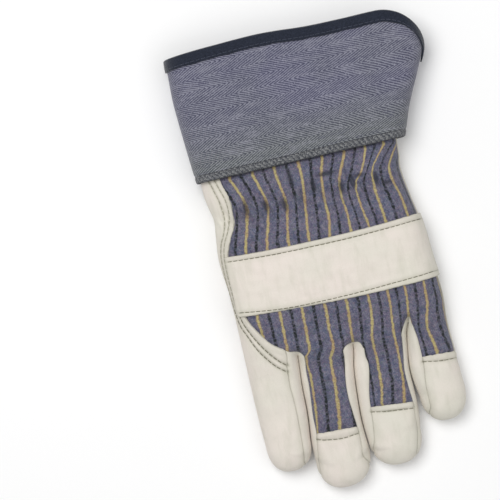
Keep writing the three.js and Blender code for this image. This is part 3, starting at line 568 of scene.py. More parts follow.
def arch_shift(x, y, row):
    """How far the rows next to the fork seams move along the fingers to follow the arches."""
    shift = 0 * x
    for line, arch in ARCHES.items():
        beyond = np.maximum(arch[0][0] - x, x - arch[-1][0])
        moved = shift + smooth(1 - beyond / ARCH_FADE) * (along(arch, x) - FORK_Y[line])
        shift = np.where(beyond < ARCH_FADE, moved, shift)
    return shift * profile(ARCH_ROWS.items(), row)


def place_in_hand(finger, row, column, side):
    left_x, left_y, right_x, right_y, bow = row_ends(finger, row)
    t = shares(finger, row, column, side)
    y = mix(left_y, right_y, lengthwise(finger, row, t, side))
    return mix(left_x, right_x, t), y - bow * (1 - (2 * t - 1) ** 2)


def hand_outline():
    points = []
    for n, finger in enumerate(FINGERS):
        rows, columns = finger_steps(finger)
        left_x, left_y, right_x, right_y, _ = row_ends(finger, rows)
        down = rows >= (0 if n == 0 else CROTCH_ROW + 1 / ROW_STEPS)
        up = rows >= (0 if n == len(FINGERS) - 1 else CROTCH_ROW)
        tip = place_in_hand(finger, np.full(len(columns) - 2, rows[-1]), columns[1:-1], 1)
        points += list(zip(left_x[down], left_y[down])) + list(zip(*tip))
        points += list(zip(right_x[up], right_y[up]))[::-1]
    return np.array(points)


OUTLINE = hand_outline()
THUMB_OUTLINE = [section[:2] for section in THUMB_SECTIONS]
THUMB_OUTLINE += [section[2:] for section in THUMB_SECTIONS[::-1]]
FORK_LINES = [
    [(along(LINES[line], y), y) for y in np.linspace(CROTCH_Y[line], *FORK_LINE_END)] for line in FORKS
]
BACK_SEAMS = [resample(line, SEAM_PITCH) for line in STITCHES_ON_BACK.values()]
STRAP_SEAMS = [resample(line, SEAM_PITCH) for line in STITCHES_ON_STRAP.values()]


# Heights of the hand

def dents(x, y, side, widest=np.inf):
    return sum(
        depth * np.exp(-((x - at_x) / half_x) ** 2 - ((y - at_y) / half_y) ** 2)
        for dent_side, at_x, at_y, half_x, half_y, depth in DENTS
        if dent_side == side and min(half_x, half_y) <= widest
    )


def grooves(x, y, lines, depth, width):
    return depth * np.exp(-(distance_to_any(lines, x, y) / width) ** 2)


def top_height(x, y):
    across = 1 - ((x - CROWN["centre"]) / CROWN["half_width"]) ** 2
    crown = CROWN["height"] * across * smooth((y - CROWN["start"]) / CROWN["over"])
    gathered = np.exp(-((y - GATHER["y"]) / GATHER["width"]) ** 2)
    ripple = GATHER["ripple"] * np.cos(2 * math.pi * x / GATHER["pitch"])
    fine = 2 * math.pi * (x + GATHER["pucker_lean"] * y) / GATHER["pucker_pitch"]
    ripple = ripple + GATHER["pucker"] * np.sin(fine + wobble(x, y, *GATHER["pucker_drift"]))
    return along(TOP, y) + crown - gathered * (GATHER["depth"] + ripple) - dents(x, y, 1)


def under_height(x, y):
    away = np.where(inside(THUMB_OUTLINE, x, y), 0, distance_to(THUMB_OUTLINE, x, y))
    base = along(UNDERSIDE, y) + dents(x, y, -1)
    return mix(PALM_OVER_THUMB, base, smooth((away - THUMB_REACH["start"]) / THUMB_REACH["over"]))


def hand_height(x, y, side, depth):
    """Height of the skin. Its sides are rounded more tightly between the fingers."""
    full = np.where(side > 0, top_height(x, y), under_height(x, y))
    from_fork = distance_to_any(FORK_LINES, x, y)
    outward = smooth((from_fork - depth - FORK_ROUND_END["start"]) / FORK_ROUND_END["over"])
    across = np.clip((x - PARTING["start"]) / PARTING["over"], 0, 1)
    parting = mix(along(PARTING_THUMB_SIDE, y), along(PARTING_LITTLE_SIDE, y), across)
    parting = parting + FORK_LIFT * smooth(1 - from_fork / FORK_ROUND)
    return mix(parting, full, rounded(depth, mix(FORK_ROUND, EDGE_ROUND, outward)))


# Skins and shells

def corners_of(grid, upward=True):
    """Four-sided faces between the points of a grid of point numbers."""
    faces = np.stack([grid[:-1, :-1], grid[1:, :-1], grid[1:, 1:], grid[:-1, 1:]], -1).reshape(-1, 4)
    return faces if upward else faces[:, ::-1]


def tube_grid(rows, columns, both=False):
    """Point numbers of a grid that closes across its columns, and along its rows too if both."""
    grid = np.arange(rows * columns).reshape(rows, columns)
    grid = np.concatenate([grid, grid[:, :1]], 1)
    return np.concatenate([grid, grid[:1]]) if both else grid


def unit(vectors):
    return vectors / np.maximum(np.linalg.norm(vectors, axis=1, keepdims=True), TINY)


def normals_of(points, faces):
    a, b, c, d = (points[faces[:, k]] for k in range(4))
    across = unit(np.cross(c - a, d - b))
    sums = np.zeros_like(points)
    for k in range(4):
        np.add.at(sums, faces[:, k], across)
    return unit(sums)


def boundary_of(faces):
    """Edges that belong to one face only, in the direction of that face."""
    edges = np.concatenate([faces[:, [k, (k + 1) % 4]] for k in range(4)])
    size = faces.max() + 1
    return edges[~np.isin(edges[:, 0] * size + edges[:, 1], edges[:, 1] * size + edges[:, 0])]


def nearest(sources, points):
    """Distance from each point to the nearest source."""
    if not len(sources):
        return np.full(len(points), FAR)
    tree = KDTree(len(sources))
    for i, source in enumerate(sources):
        tree.insert(source, i)
    tree.balance()
    return np.array([tree.find(point)[2] for point in points])


def shell(points, normals, faces, wall, lift, inset, relief):
    """A closed wall on one patch of a skin. relief holds rows of distance to the patch's boundary and
    height to add there, or is a function of the points used and those on the boundary.
    Hands back points, faces, the numbers of the skin's points used, and their distances."""
    edges = boundary_of(faces)
    used = np.unique(faces)
    rim = np.unique(edges)
    start, end = points[edges[:, 0]], points[edges[:, 1]]
    inward = unit(np.cross(normals[edges[:, 0]] + normals[edges[:, 1]], end - start))
    pull = np.zeros_like(points)
    np.add.at(pull, edges[:, 0], inward)
    np.add.at(pull, edges[:, 1], inward)
    inset = np.broadcast_to(inset, (len(points),))[:, None]
    moved = points + unit(pull) * inset * (np.linalg.norm(pull, axis=1, keepdims=True) > 0)
    away = nearest(points[rim], points[used])
    height = lift + (relief(used, rim) if callable(relief) else profile(relief, away))
    outer = moved[used] + normals[used] * height[:, None]
    inner = moved[used] + normals[used] * (lift - wall)
    number = np.zeros(len(points), int)
    number[used] = np.arange(len(used))
    top, under = number[faces], len(used)
    first, second = number[edges].T
    sides = np.stack([second, first, first + under, second + under], 1)
    return np.concatenate([outer, inner]), np.concatenate([top, top[:, ::-1] + under, sides]), used, away


def make_piece(name, points, faces, material, node=None, uv=None):
    """A Blender object from points in millimetres. uv holds two numbers for each point in each layer."""
    points = np.stack([points[:, 0], points[:, 1], np.maximum(points[:, 2], LOWEST)], 1)
    mesh = bpy.data.meshes.new(name)
    mesh.from_pydata(((points + ORIGIN) * MM).tolist(), [], [list(map(int, face)) for face in faces])
    mesh.validate()
    mesh.polygons.foreach_set("use_smooth", [True] * len(mesh.polygons))
    mesh.set_sharp_from_angle(angle=SHARP_ANGLE)
    corners = np.empty(len(mesh.loops), int)
    mesh.loops.foreach_get("vertex_index", corners)
    for layer, values in (uv or {}).items():
        mesh.uv_layers.new(name=layer).data.foreach_set("uv", values[corners].ravel())
    mesh.materials.append(material)
    piece = bpy.data.objects.new(name, mesh)
    bpy.context.scene.collection.objects.link(piece)
    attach(piece, "root")
    if node:
        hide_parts(node)
    return piece


def add_leather(name, points, normals, faces, wall, lift, inset, relief, seams=(), seam_side=True):
    """A leather piece. Its seam layer holds each point's distance to a row of stitches and to its edge."""
    shaped, shell_faces, used, away = shell(points, normals, faces, wall, lift, inset, relief)
    near = np.full(len(used), FAR)
    for line in seams:
        near = np.minimum(near, distance_to(line, points[used, 0], points[used, 1]))
    near = np.where(np.broadcast_to(seam_side, len(points))[used], near, FAR)
    uv = {"seam": np.tile(np.stack([near, away], 1), (2, 1))}
    return make_piece(name, shaped, shell_faces, leather, name, uv)


def add_channel(name, loops, heights, material, node=None, arc=None, upward=True):
    """A closed channel through loops of points round the cuff, with its pattern's height at each loop."""
    points = np.stack(loops, 1)
    faces = corners_of(tube_grid(*points.shape[:2], both=True), upward)
    arc = lengths_along(loops[0]) if arc is None else arc
    uv = {"pattern": np.stack([np.repeat(arc, len(loops)), np.tile(heights, len(arc))], 1)}
    return make_piece(name, points.reshape(-1, 3), faces, material, node, uv)


# Materials

def colour(value):
    """A colour given as it looks on a screen, from 0 to 255. Anything else stays as it is."""
    if not isinstance(value, tuple) or len(value) != 3:
        return value
    return (*(((v / 255 + 0.055) / 1.055) ** 2.4 if v > 10 else v / 255 / 12.92 for v in value), 1)


class Look:
    """A material under construction, with a short call for each kind of node that it takes."""

    def __init__(self, name, roughness, sheen=0.0, specular=0.4):
        self.material = bpy.data.materials.new(name)
        self.material.use_nodes = True
        self.tree = self.material.node_tree
        self.shader = self.tree.nodes["Principled BSDF"]
        self.shader.inputs["Roughness"].default_value = roughness
        self.shader.inputs["Sheen Weight"].default_value = sheen
        self.shader.inputs["Specular IOR Level"].default_value = specular
        self.where = self.add("TexCoord").outputs["Object"]

    def add(self, kind, inputs=None, **settings):
        """A shader node. inputs maps the name or number of a socket to a value or to another socket."""
        node = self.tree.nodes.new("ShaderNode" + kind)
        for name, value in settings.items():
            setattr(node, name, value)
        for name, value in (inputs or {}).items():
            socket = node.inputs[name]
            if isinstance(value, bpy.types.NodeSocket):
                self.tree.links.new(value, socket)
            else:
                socket.default_value = value
        return node

    def link(self, value, socket):
        self.tree.links.new(value, self.shader.inputs[socket])

    def math(self, operation, *values):
        return self.add("Math", dict(enumerate(values)), operation=operation).outputs[0]

    def blend(self, share, first, second):
        return self.add("Mix", {0: share, 6: colour(first), 7: colour(second)}, data_type="RGBA").outputs[2]

    def remap(self, value, low, high, to_low=0.0, to_high=1.0):
        return self.add("MapRange", {0: value, 1: low, 2: high, 3: to_low, 4: to_high}).outputs[0]

    def stretched(self, scale, turn=0.0, where=None):
        where = self.where if where is None else where
        return self.add("Mapping", {0: where, "Scale": scale, "Rotation": (0, 0, turn)}).outputs[0]

    def noise(self, scale, detail=3.0, roughness=0.55, turn=0.0, where=None):
        """Noise of one scale, or of a scale for each axis, which can be turned and laid elsewhere."""
        place = self.where
        if isinstance(scale, tuple):
            place, scale = self.stretched(scale, turn, where), 1.0
        inputs = {"Vector": place, "Scale": scale, "Detail": detail, "Roughness": roughness}
        return self.add("TexNoise", inputs).outputs[0]

    def layer(self, name):
        return self.add("UVMap", uv_map=name).outputs[0]

    def parts(self, vector):
        return self.add("SeparateXYZ", {0: vector}).outputs[:2]

    def coats(self, base, rows):
        """Colours laid over each other: what each follows, where it starts, where it is full, its share
        there, and the colour."""
        for value, start, full, share, over in rows:
            base = self.blend(self.remap(value, start, full, 0.0, share), base, over)
        return base

    def done(self, base, bumps=()):
        """Links the colour and a chain of bumps: rows of height, strength and distance in metres."""
        self.link(base, "Base Color")
        normal = {}
        for height, strength, distance in bumps:
            inputs = {"Height": height, "Strength": strength, "Distance": distance, **normal}
            normal = {"Normal": self.add("Bump", inputs).outputs[0]}
        if normal:
            self.link(normal["Normal"], "Normal")
        return self.material


def leather_material(name, light, dark, cool, soil_and_shade):
    look = Look(name, 0.66, sheen=0.06, specular=0.28)
    from_stitches, from_edge = look.parts(look.layer("seam"))
    mottle = look.noise((230, 60, 230))
    cells = {"Vector": look.where, "Scale": 1150.0}
    pores = look.add("TexVoronoi", cells, feature="DISTANCE_TO_EDGE").outputs[0]
    grain = look.noise(1500.0, 2.0)
    wrinkles = look.noise((240, 80, 240), 4.0, 0.6, turn=0.4)
    creases = look.noise((60, 150, 60), 2.0, 0.5, turn=-0.25)
    base = look.coats(light, [
        (look.noise(24.0), 0.35, 0.65, 1.0, cool),
        (mottle, 0.48, 0.8, 0.4, dark),
        (pores, 0.09, 0.0, 0.2, dark),
        # Painted shade in the grooves along the stitches, softer further out
        (from_stitches, 3.0, 0.4, 0.28, dark),
        (from_stitches, 0.7, 0.1, 0.4, soil_and_shade),
        # Painted shade toward each panel's edge; the thin band right at the edge is partly a grimy cut edge,
        # partly painted shade
        (from_edge, 5.0, 0.5, 0.3, dark),
        (from_edge, 0.7, 0.0, 0.24, soil_and_shade),
    ])
    look.link(look.remap(mottle, 0.3, 0.7, 0.58, 0.74), "Roughness")
    groove = look.remap(from_stitches, 0.0, 0.8)
    frayed = look.math("MULTIPLY", grain, look.remap(from_edge, 0.0, 1.2, 1.0, 0.0))
    return look.done(base, [
        (creases, 0.3, 0.0012), (wrinkles, 0.4, 0.0007), (groove, 0.7, 0.0005), (frayed, 0.8, 0.0004),
        (pores, 0.35, 0.00012), (grain, 0.25, 0.00009),
    ])


def striped_material():
    look = Look("striped_cloth", 0.92, sheen=0.2, specular=0.15)
    number, crease_shade = look.parts(look.layer("pattern"))
    wander = look.remap(look.noise(480.0, 2.0), 0.3, 0.7, -0.026, 0.026)
    yellow_away = look.math("PINGPONG", look.math("ADD", number, wander), 0.5)
    black_away = look.math("SUBTRACT", 0.5, yellow_away)
    bands = {"Vector": look.stretched((1, 1, 0.2), 0.7), "Scale": 330.0, "Distortion": 1.5, "Detail": 1.0}
    twill = look.add("TexWave", bands, wave_type="BANDS").outputs[1]
    fleck = look.noise((820, 1250, 820), 2.0, 0.7, turn=0.6)
    slub = look.noise((520, 300, 520), 3.0, 0.65, turn=0.1)
    tint = look.noise((700, 900, 700), 1.0, 0.5, turn=-0.4)
    blotch = look.noise(170.0, 3.0, 0.6)
    beat = look.noise((500, 760, 500), 1.0, 0.5)
    cloth = look.coats((106, 101, 121), [
        (look.noise(110.0, 3.0, 0.7), 0.4, 0.6, 1.0, (94, 98, 120)),
        (slub, 0.5, 0.68, 0.55, (134, 131, 142)),
        (slub, 0.48, 0.34, 0.6, (66, 66, 92)),
        (fleck, 0.52, 0.74, 0.55, (156, 154, 164)),
        (fleck, 0.46, 0.3, 0.6, (50, 52, 78)),
        (tint, 0.56, 0.7, 0.45, (122, 104, 112)),
        (tint, 0.44, 0.3, 0.45, (86, 100, 88)),
        (blotch, 0.56, 0.72, 0.4, (60, 66, 74)),
        (twill, 0.5, 0.0, 0.25, (54, 54, 80)),
    ])
    dash = look.remap(beat, 0.42, 0.62, 1.0, 0.45)
    base = look.blend(look.math("MULTIPLY", look.remap(black_away, 0.09, 0.046), dash), cloth, (37, 41, 42))
    yellow = look.coats((172, 160, 110), [
        (look.noise(95.0, 2.0), 0.44, 0.62, 1.0, (168, 146, 106)),
        (fleck, 0.5, 0.7, 0.5, (196, 186, 150)),
        (fleck, 0.47, 0.32, 0.6, (128, 108, 78)),
    ])
    base = look.blend(look.remap(yellow_away, 0.11, 0.07, 0.0, 0.55), base, (112, 90, 98))
    dash = look.remap(beat, 0.3, 0.45, 0.72, 1.0)
    base = look.blend(look.math("MULTIPLY", look.remap(yellow_away, 0.08, 0.036), dash), base, yellow)
    # Painted shade in the narrow creases of the gathers
    base = look.coats(base, [(crease_shade, 0.06, 0.6, 0.72, (44, 46, 54))])
    lumps = look.noise(190.0, 2.0)
    return look.done(base, [
        (lumps, 0.5, 0.0012), (slub, 0.5, 0.0004), (twill, 0.4, 0.0002), (fleck, 0.5, 0.0002),
    ])


def herringbone_material():
    look = Look("cuff_cloth", 0.9, sheen=0.2, specular=0.15)
    pattern = look.layer("pattern")
    around, height = look.parts(pattern)
    warp = look.remap(look.noise(40.0, 2.0), 0.3, 0.7, -0.4, 0.4)
    east = look.math("MULTIPLY", look.parts(look.where)[0], HERRINGBONE["tilt"] / MM)
    up = look.math("SUBTRACT", look.math("ADD", height, warp), east)
    zigzag = look.math("PINGPONG", look.math("SUBTRACT", up, HERRINGBONE["first"]), HERRINGBONE["band"])
    slanted = look.math("MULTIPLY_ADD", zigzag, HERRINGBONE["rise"], around)
    ridge = look.math("PINGPONG", slanted, HERRINGBONE["pitch"] / 2)
    thread = look.noise((1250, 1250, 1250), 2.0, 0.7)
    streak = look.noise((90, 420, 90), 3.0, 0.6, turn=0.15)
    line = look.remap(look.math("ADD", ridge, look.remap(thread, 0.3, 0.7, -0.32, 0.32)), 0.35, 1.0)
    drift = look.remap(look.noise(28.0, 2.0), 0.38, 0.62)
    shade = look.math("MULTIPLY", look.remap(height, 8.0, 34.0), look.remap(drift, 0.0, 1.0, 1.0, 0.7))
    dark = look.blend(shade, (70, 74, 80), (71, 71, 93))
    pale = look.blend(shade, (131, 134, 136), (130, 130, 148))
    cloth = look.coats(look.blend(line, dark, pale), [
        (streak, 0.52, 0.72, 0.4, (150, 150, 162)),
        (streak, 0.46, 0.3, 0.35, (78, 78, 100)),
        (thread, 0.57, 0.76, 0.5, (178, 178, 190)),
        (thread, 0.43, 0.28, 0.4, (60, 62, 84)),
    ])
    rough = look.noise((0.9, 0.9, 1), 3.0, 0.7, where=pattern)
    lean = look.math("ADD", around, look.math("MULTIPLY", height, HEM["lean"]))
    lean = look.math("ADD", lean, look.remap(rough, 0.3, 0.7, -1.9, 1.9))
    stroke = look.remap(look.math("PINGPONG", lean, HEM["pitch"] / 2), 0.35, 1.2)
    stroke = look.math("MULTIPLY", stroke, look.remap(rough, 0.3, 0.6, 0.35, 1.0))
    band = look.remap(height, HEM["fade"], HEM["height"], 1.0, 0.0)
    hem = look.blend(stroke, (60, 64, 74), (166, 167, 168))
    base = look.blend(look.math("MULTIPLY", band, 0.85), cloth, hem)
    # Painted shadow along the hem's lower edge, where the cuff lies over the hand
    base = look.coats(base, [(height, 0.9, 0.15, 0.75, (46, 50, 56))])
    lumps, coarse = look.noise(70.0, 2.0), look.math("MULTIPLY", stroke, band)
    return look.done(base, [
        (lumps, 0.35, 0.0015), (coarse, 0.8, 0.0009), (line, 0.5, 0.0002), (thread, 0.5, 0.00018),
    ])


def tape_material():
    look = Look("navy_tape", 0.85, sheen=0.3, specular=0.2)
    bands = {"Vector": look.layer("pattern"), "Scale": 0.45, "Distortion": 0.6}
    ribs = look.add("TexWave", bands, wave_type="BANDS").outputs[1]
    fleck = look.noise(1300.0, 2.0, 0.7)
    base = look.coats((22, 28, 40), [
        (fleck, 0.35, 0.7, 1.0, (44, 50, 66)),
        (ribs, 0.6, 0.0, 0.35, (18, 22, 34)),
    ])
    return look.done(base, [(ribs, 0.5, 0.0002), (fleck, 0.4, 0.0002)])


def thread_material(name, dark, light):
    look = Look(name, 0.7, sheen=0.2, specular=0.3)
    twist = look.noise(2600.0, 2.0, 0.6)
    return look.done(look.coats(dark, [(twist, 0.35, 0.65, 1.0, light)]), [(twist, 0.5, 0.0001)])


def floor_material():
    look = Look("pale_floor", 0.9, specular=0.1)
    pale, paler = (0.955, 0.955, 0.955, 1), (0.975, 0.975, 0.975, 1)
    return look.done(look.coats(pale, [(look.noise(3.0, 2.0), 0.3, 0.7, 1.0, paler)]))


# The last colour of each leather is painted shade along the stitches and at the edges, and partly a grimy
# cut edge
leather = leather_material(
    "ivory_leather", (228, 218, 210), (190, 189, 172), (220, 216, 204), (146, 146, 126)
)
welt_leather = leather_material(
    "welt_leather", (206, 212, 218), (176, 182, 190), (200, 205, 208), (140, 146, 152)
)
striped = striped_material()
herringbone = herringbone_material()
tape = tape_material()
threads = {name: thread_material(name + "_thread", *pair) for name, pair in THREADS.items()}


# Hand skin

def panel_of(finger, row, column, side):
    """The panel that a cell of the skin belongs to, from its place in the tables."""
    left_seam, right_seam = finger["seams"]
    before, after = finger["rows"]
    beyond_fork = row >= FORK_ROW
    beyond_round = row - (CROTCH_ROW + before + after)
    if beyond_fork and column < left_seam and beyond_round < finger["fork_end"][0]:
        return FORKS[finger["lines"][0]]
    if beyond_fork and column >= right_seam and beyond_round < finger["fork_end"][1]:
        return FORKS[finger["lines"][1]]
    if finger["name"] == "index":
        if side > 0:
            return "palm_leather" if beyond_fork or column < WRAP_COLUMN else "back_panel"
        mouth = column < MOUTH["column"] and MOUTH["first_row"] <= row < MOUTH["last_row"]
        return "thumb_mouth" if mouth else "palm_leather"
    if side > 0:
        return "tip_" + finger["name"] if row >= CROTCH_ROW + before else "back_panel"
    return "finger_front_" + finger["name"] if beyond_fork and finger["name"] != "little" else "palm_leather"


def make_hand():
    """The skin's points and faces, the panel of each face, the point numbers of each finger and side, and
    the side of each point and its distance from the outline."""
    grids, faces, names, parts, count = {}, [], [], [], 0
    joined = CROTCH_ROW * ROW_STEPS + 1
    for n, finger in enumerate(FINGERS):
        rows, columns = finger_steps(finger)
        row, column = np.meshgrid(rows, columns, indexing="ij")
        last = n == len(FINGERS) - 1
        free = (row == rows[-1]) | ((column == 0) & ((n == 0) | (row > CROTCH_ROW)))
        free |= (column == columns[-1]) & (last | (row >= CROTCH_ROW))
        shared_left = (column == 0) & (row <= CROTCH_ROW) & (n > 0)
        on_outline = free | (shared_left & (row >= CROTCH_ROW))
        for side in (1, -1):
            own = ~shared_left & ~(free & (side < 0))
            grid = np.zeros(row.shape, int)
            if side < 0:
                grid[free] = grids[n, 1][free]
            if n > 0:
                grid[:joined, 0] = grids[n - 1, side][:joined, -1]
            grid[own] = count + np.arange(own.sum())
            count += own.sum()
            grids[n, side] = grid
            x, y = place_in_hand(finger, row, column, side)
            if side > 0:
                y = y + np.where(on_outline, 0, arch_shift(x, y, row))
            parts.append(np.stack([x, y, np.full(x.shape, side), on_outline], -1)[own])
            faces.append(corners_of(grid, side > 0))
            names += [
                panel_of(finger, i // ROW_STEPS, j // COLUMN_STEPS, side)
                for i in range(len(rows) - 1) for j in range(len(columns) - 1)
            ]
    x, y, side, on_outline = np.concatenate(parts).T
    closed = np.concatenate([OUTLINE, OUTLINE[:1]])
    depth = np.where(on_outline > 0, 0, distance_to(closed, x, y))
    wrist = (y > WRIST_Y - CLOSE) & (on_outline == 0)
    depth = np.where(wrist, distance_to(OUTLINE, x, y), depth)
    z = hand_height(x, y, side, depth)
    return np.stack([x, y, z], 1), np.concatenate(faces), np.array(names), grids, side, depth


def roughen(side, relief):
    """Adds a relief to one side of the skin, less towards its outline."""
    points = np.flatnonzero(hand_side * side > 0)
    skin[points, 2] += rounded(hand_depth[points], EDGE_ROUND) * relief(skin[points, 0], skin[points, 1])


skin, hand_faces, hand_names, hand_grids, hand_side, hand_depth = make_hand()
roughen(1, lambda x, y: grooves(x, y, BACK_SEAMS, *GROOVES["back"]) + swell("back", x, y))
roughen(-1, lambda x, y: swell("palm", x, y, level=1))
hand_normals = normals_of(skin, hand_faces)
panels_at = {
    name: np.isin(np.arange(len(skin)), hand_faces[hand_names == name]) for name in sorted(set(hand_names))
}


def flattened(x, y):
    """How far across the cloth a place lies when the glove's side is laid out flat."""
    reach = EDGE_ROUND * np.linspace(0, 1, FLANK_SAMPLES["count"]) ** FLANK_SAMPLES["power"]
    lengths = np.hypot(np.diff(reach), np.diff(FLANK * rounded(reach, EDGE_ROUND)))
    gained = np.concatenate([[0], np.cumsum(lengths - np.diff(reach))])
    depth = along(LINES["little_side"], y) - x
    return x + gained[-1] - np.interp(depth, reach, gained)


def stripe_number(points):
    """Which stripe a point of the cloth lies on: whole numbers on the yellow stripes."""
    x, y = points[:, 0], points[:, 1]
    lines = [flattened(along(line, y), y) for line in STRIPES]
    place = flattened(x, y)
    number = np.zeros(len(points))
    for k, (low, high) in enumerate(zip(lines, lines[1:])):
        t = (place - low) / np.maximum(high - low, STRIPE_LEAST)
        number = np.where((place >= low) | (k == 0), k + t, number)
    return number


def add_panel(name, lift):
    """One panel of the hand. Leather laps the cloth's edges, and other seams lie in valleys."""
    cloth = name == "back_panel"
    faces = hand_faces[hand_names == name]
    forks = np.any([panels_at[fork] for fork in FORKS.values()], axis=0)
    others = np.any([panels_at[other] for other in panels_at if other != name], axis=0)
    laps = (others if cloth else panels_at["back_panel"]) & ~forks & (name not in FORKS.values())

    def relief(used, rim):
        lapped = nearest(skin[rim[laps[rim]]], skin[used])
        joined = nearest(skin[rim[others[rim] & ~laps[rim]]], skin[used])
        lap = profile(PROFILES["under" if cloth else "lap"], lapped)
        height = lap * smooth(joined / LAP_FADE) + profile(PROFILES["valley"], joined)
        on_top = smooth(hand_depth[used] / SIDE_RELIEF["over"])
        return height * mix(SIDE_RELIEF["share"], 1, on_top) if cloth else height

    if not cloth:
        inset = np.where(laps, TORN_INSET + swell("torn_edge", skin[:, 0], skin[:, 1]), EDGE_INSET)
        shape = (skin, hand_normals, faces, LEATHER_WALL, lift, inset, relief)
        return add_leather(name, *shape, BACK_SEAMS, hand_side > 0)
    points, shell_faces, used, _ = shell(skin, hand_normals, faces, CLOTH_WALL, lift, EDGE_INSET, relief)
    # Depth of the narrow creases, which sets the cloth's painted crease shade
    creases = dents(skin[used, 0], skin[used, 1], 1, CREASE_WIDTH)
    uv = {"pattern": np.tile(np.stack([stripe_number(skin[used]), creases], 1), (2, 1))}
    return make_piece(name, points, shell_faces, striped, name, uv)


skin_pieces = [add_panel(name, lift) for name, lift in PANEL_LIFT.items()]


# Thumb

def thumb_height(x, y, side, depth):
    from_side = distance_to(OUTLINE, x, y)
    root_edge = hand_height(x, y, -1, from_side) - np.minimum(from_side, THUMB["under_palm"])
    edge_share = smooth((x - THUMB["root_end"]) / (THUMB["edge_start"] - THUMB["root_end"]))
    edge = mix(root_edge, THUMB["edge"], edge_share)
    return mix(edge, np.where(side > 0, THUMB["top"], 0), rounded(depth, THUMB["round"]))


def add_thumb():
    """The thumb's back hangs from the palm's side edge, and its front closes it beyond the mouth."""
    rows, columns = steps(len(THUMB_SECTIONS) - 1, THUMB_STEPS), steps(len(THUMB_COLUMNS) - 1, COLUMN_STEPS)
    row, column = np.meshgrid(rows, columns, indexing="ij")
    near_x, near_y, far_x, far_y = (
        along(list(enumerate(values)), rows)[:, None] for values in zip(*THUMB_SECTIONS)
    )
    t = profile(enumerate(THUMB_COLUMNS), columns)
    x, y = mix(near_x, far_x, t), mix(near_y, far_y, t)
    x = x + (along(LINES["thumb_side"], y[0]) - x[0]) * np.clip(1 - row / THUMB["front_first"], 0, 1)
    from_root = distance_to(np.stack([x[0], y[0]], -1), x, y)
    near, far = np.hstack([near_x, near_y]), np.hstack([far_x, far_y])
    from_sides = distance_to(np.concatenate([near, far[::-1]]), x, y)
    depth = from_root * from_sides / np.maximum(np.hypot(from_root, from_sides), TINY)
    rim = (row == rows[-1]) | (column == 0) | (column == columns[-1])
    grids, parts, count = {}, [], 0
    for side in (-1, 1):
        own = np.full(row.shape, True) if side < 0 else (row >= THUMB["front_first"]) & ~rim
        grids[side] = np.where(rim, grids[-1], 0) if side > 0 else np.zeros(row.shape, int)
        grids[side][own] = count + np.arange(own.sum())
        count += own.sum()
        free = rim | ((row == 0) & (side < 0))
        z = thumb_height(x, y, side, np.where(free, 0, depth))
        z = z + (side < 0) * rounded(depth, THUMB["round"]) * swell("thumb", x, y, level=1)
        parts.append(np.stack([x, y, z], -1)[own])
    points = np.concatenate(parts)
    faces = {
        "thumb_back": corners_of(grids[-1], False),
        "thumb_front": corners_of(grids[1][THUMB["front_first"] * THUMB_STEPS:], True),
    }
    normals = normals_of(points, np.concatenate(list(faces.values())))
    for name, own in faces.items():
        shape = (points, normals, own, THUMB["wall"], THUMB["lift"], THUMB["inset"])
        add_leather(name, *shape, PROFILES["valley"])


add_thumb()


# Knuckle strap

def crowded(share, amount):
    """Even shares, drawn towards both ends."""
    return mix(share, (1 - np.cos(math.pi * share)) / 2, amount)


def add_strap():
    wide, high = STRAP_STEPS
    across, down = map(crowded, np.meshgrid(steps(1, wide), steps(1, high)), STRAP["crowd"])
    bow = STRAP["sag"] * (1 - (2 * across - 1) ** 2)
    y = mix(mix(*STRAP["top"], across), mix(*STRAP["bottom"], across), down) - bow
    x = mix(STRAP["left"], along(LINES["little_side"], y) - STRAP["inset"], across)
    z = hand_height(x, y, 1, distance_to(OUTLINE, x, y)) + grooves(x, y, STRAP_SEAMS, *GROOVES["strap"])
    points = np.stack([x, y, z + swell("strap", x, y)], -1).reshape(-1, 3)
    faces = corners_of(np.arange(len(points)).reshape(x.shape))
    torn = swell("strap_edge", points[:, 0], points[:, 1])
    shape = (points, normals_of(points, faces), faces, STRAP["wall"], STRAP["lift"], torn)
    return add_leather("knuckle_strap", *shape, PROFILES["strap"], STRAP_SEAMS)


strap_piece = add_strap()


# Cuff, seam at the wrist and binding

def cuff_section(y):
    heights, *sides = zip(*CUFF_SECTIONS)
    return [along(list(zip(heights, values)), y) for values in sides]


def cuff_point(t, y, side):
    left, right, bottom, top = cuff_section(y)
    x = mix(left, right, t)
    full = np.where(side > 0, top, bottom)
    depth = np.minimum(x - left, right - x)
    return np.stack([x, y + 0 * x, mix(CUFF_PARTING, full, rounded(depth, EDGE_ROUND))], -1)


def rim_height(t):
    past = np.clip((t - CUFF_RIM["corner_start"]) / (1 - CUFF_RIM["corner_start"]), 0, 1)
    corner = (1 - past ** CUFF_RIM["power"]) ** (1 / CUFF_RIM["power"])
    return mix(CUFF_RIM["low"], CUFF_RIM["y"] + along(CUFF_WAVE, mix(*CUFF_RIM["reach"], t)), corner)


def round_cuff(around):
    """Share of the width, and side, of points round the cuff from its thumb side over the top."""
    angle = 2 * math.pi * np.arange(around) / around
    return (1 - np.cos(angle)) / 2, np.where(np.sin(angle) >= 0, 1, -1)


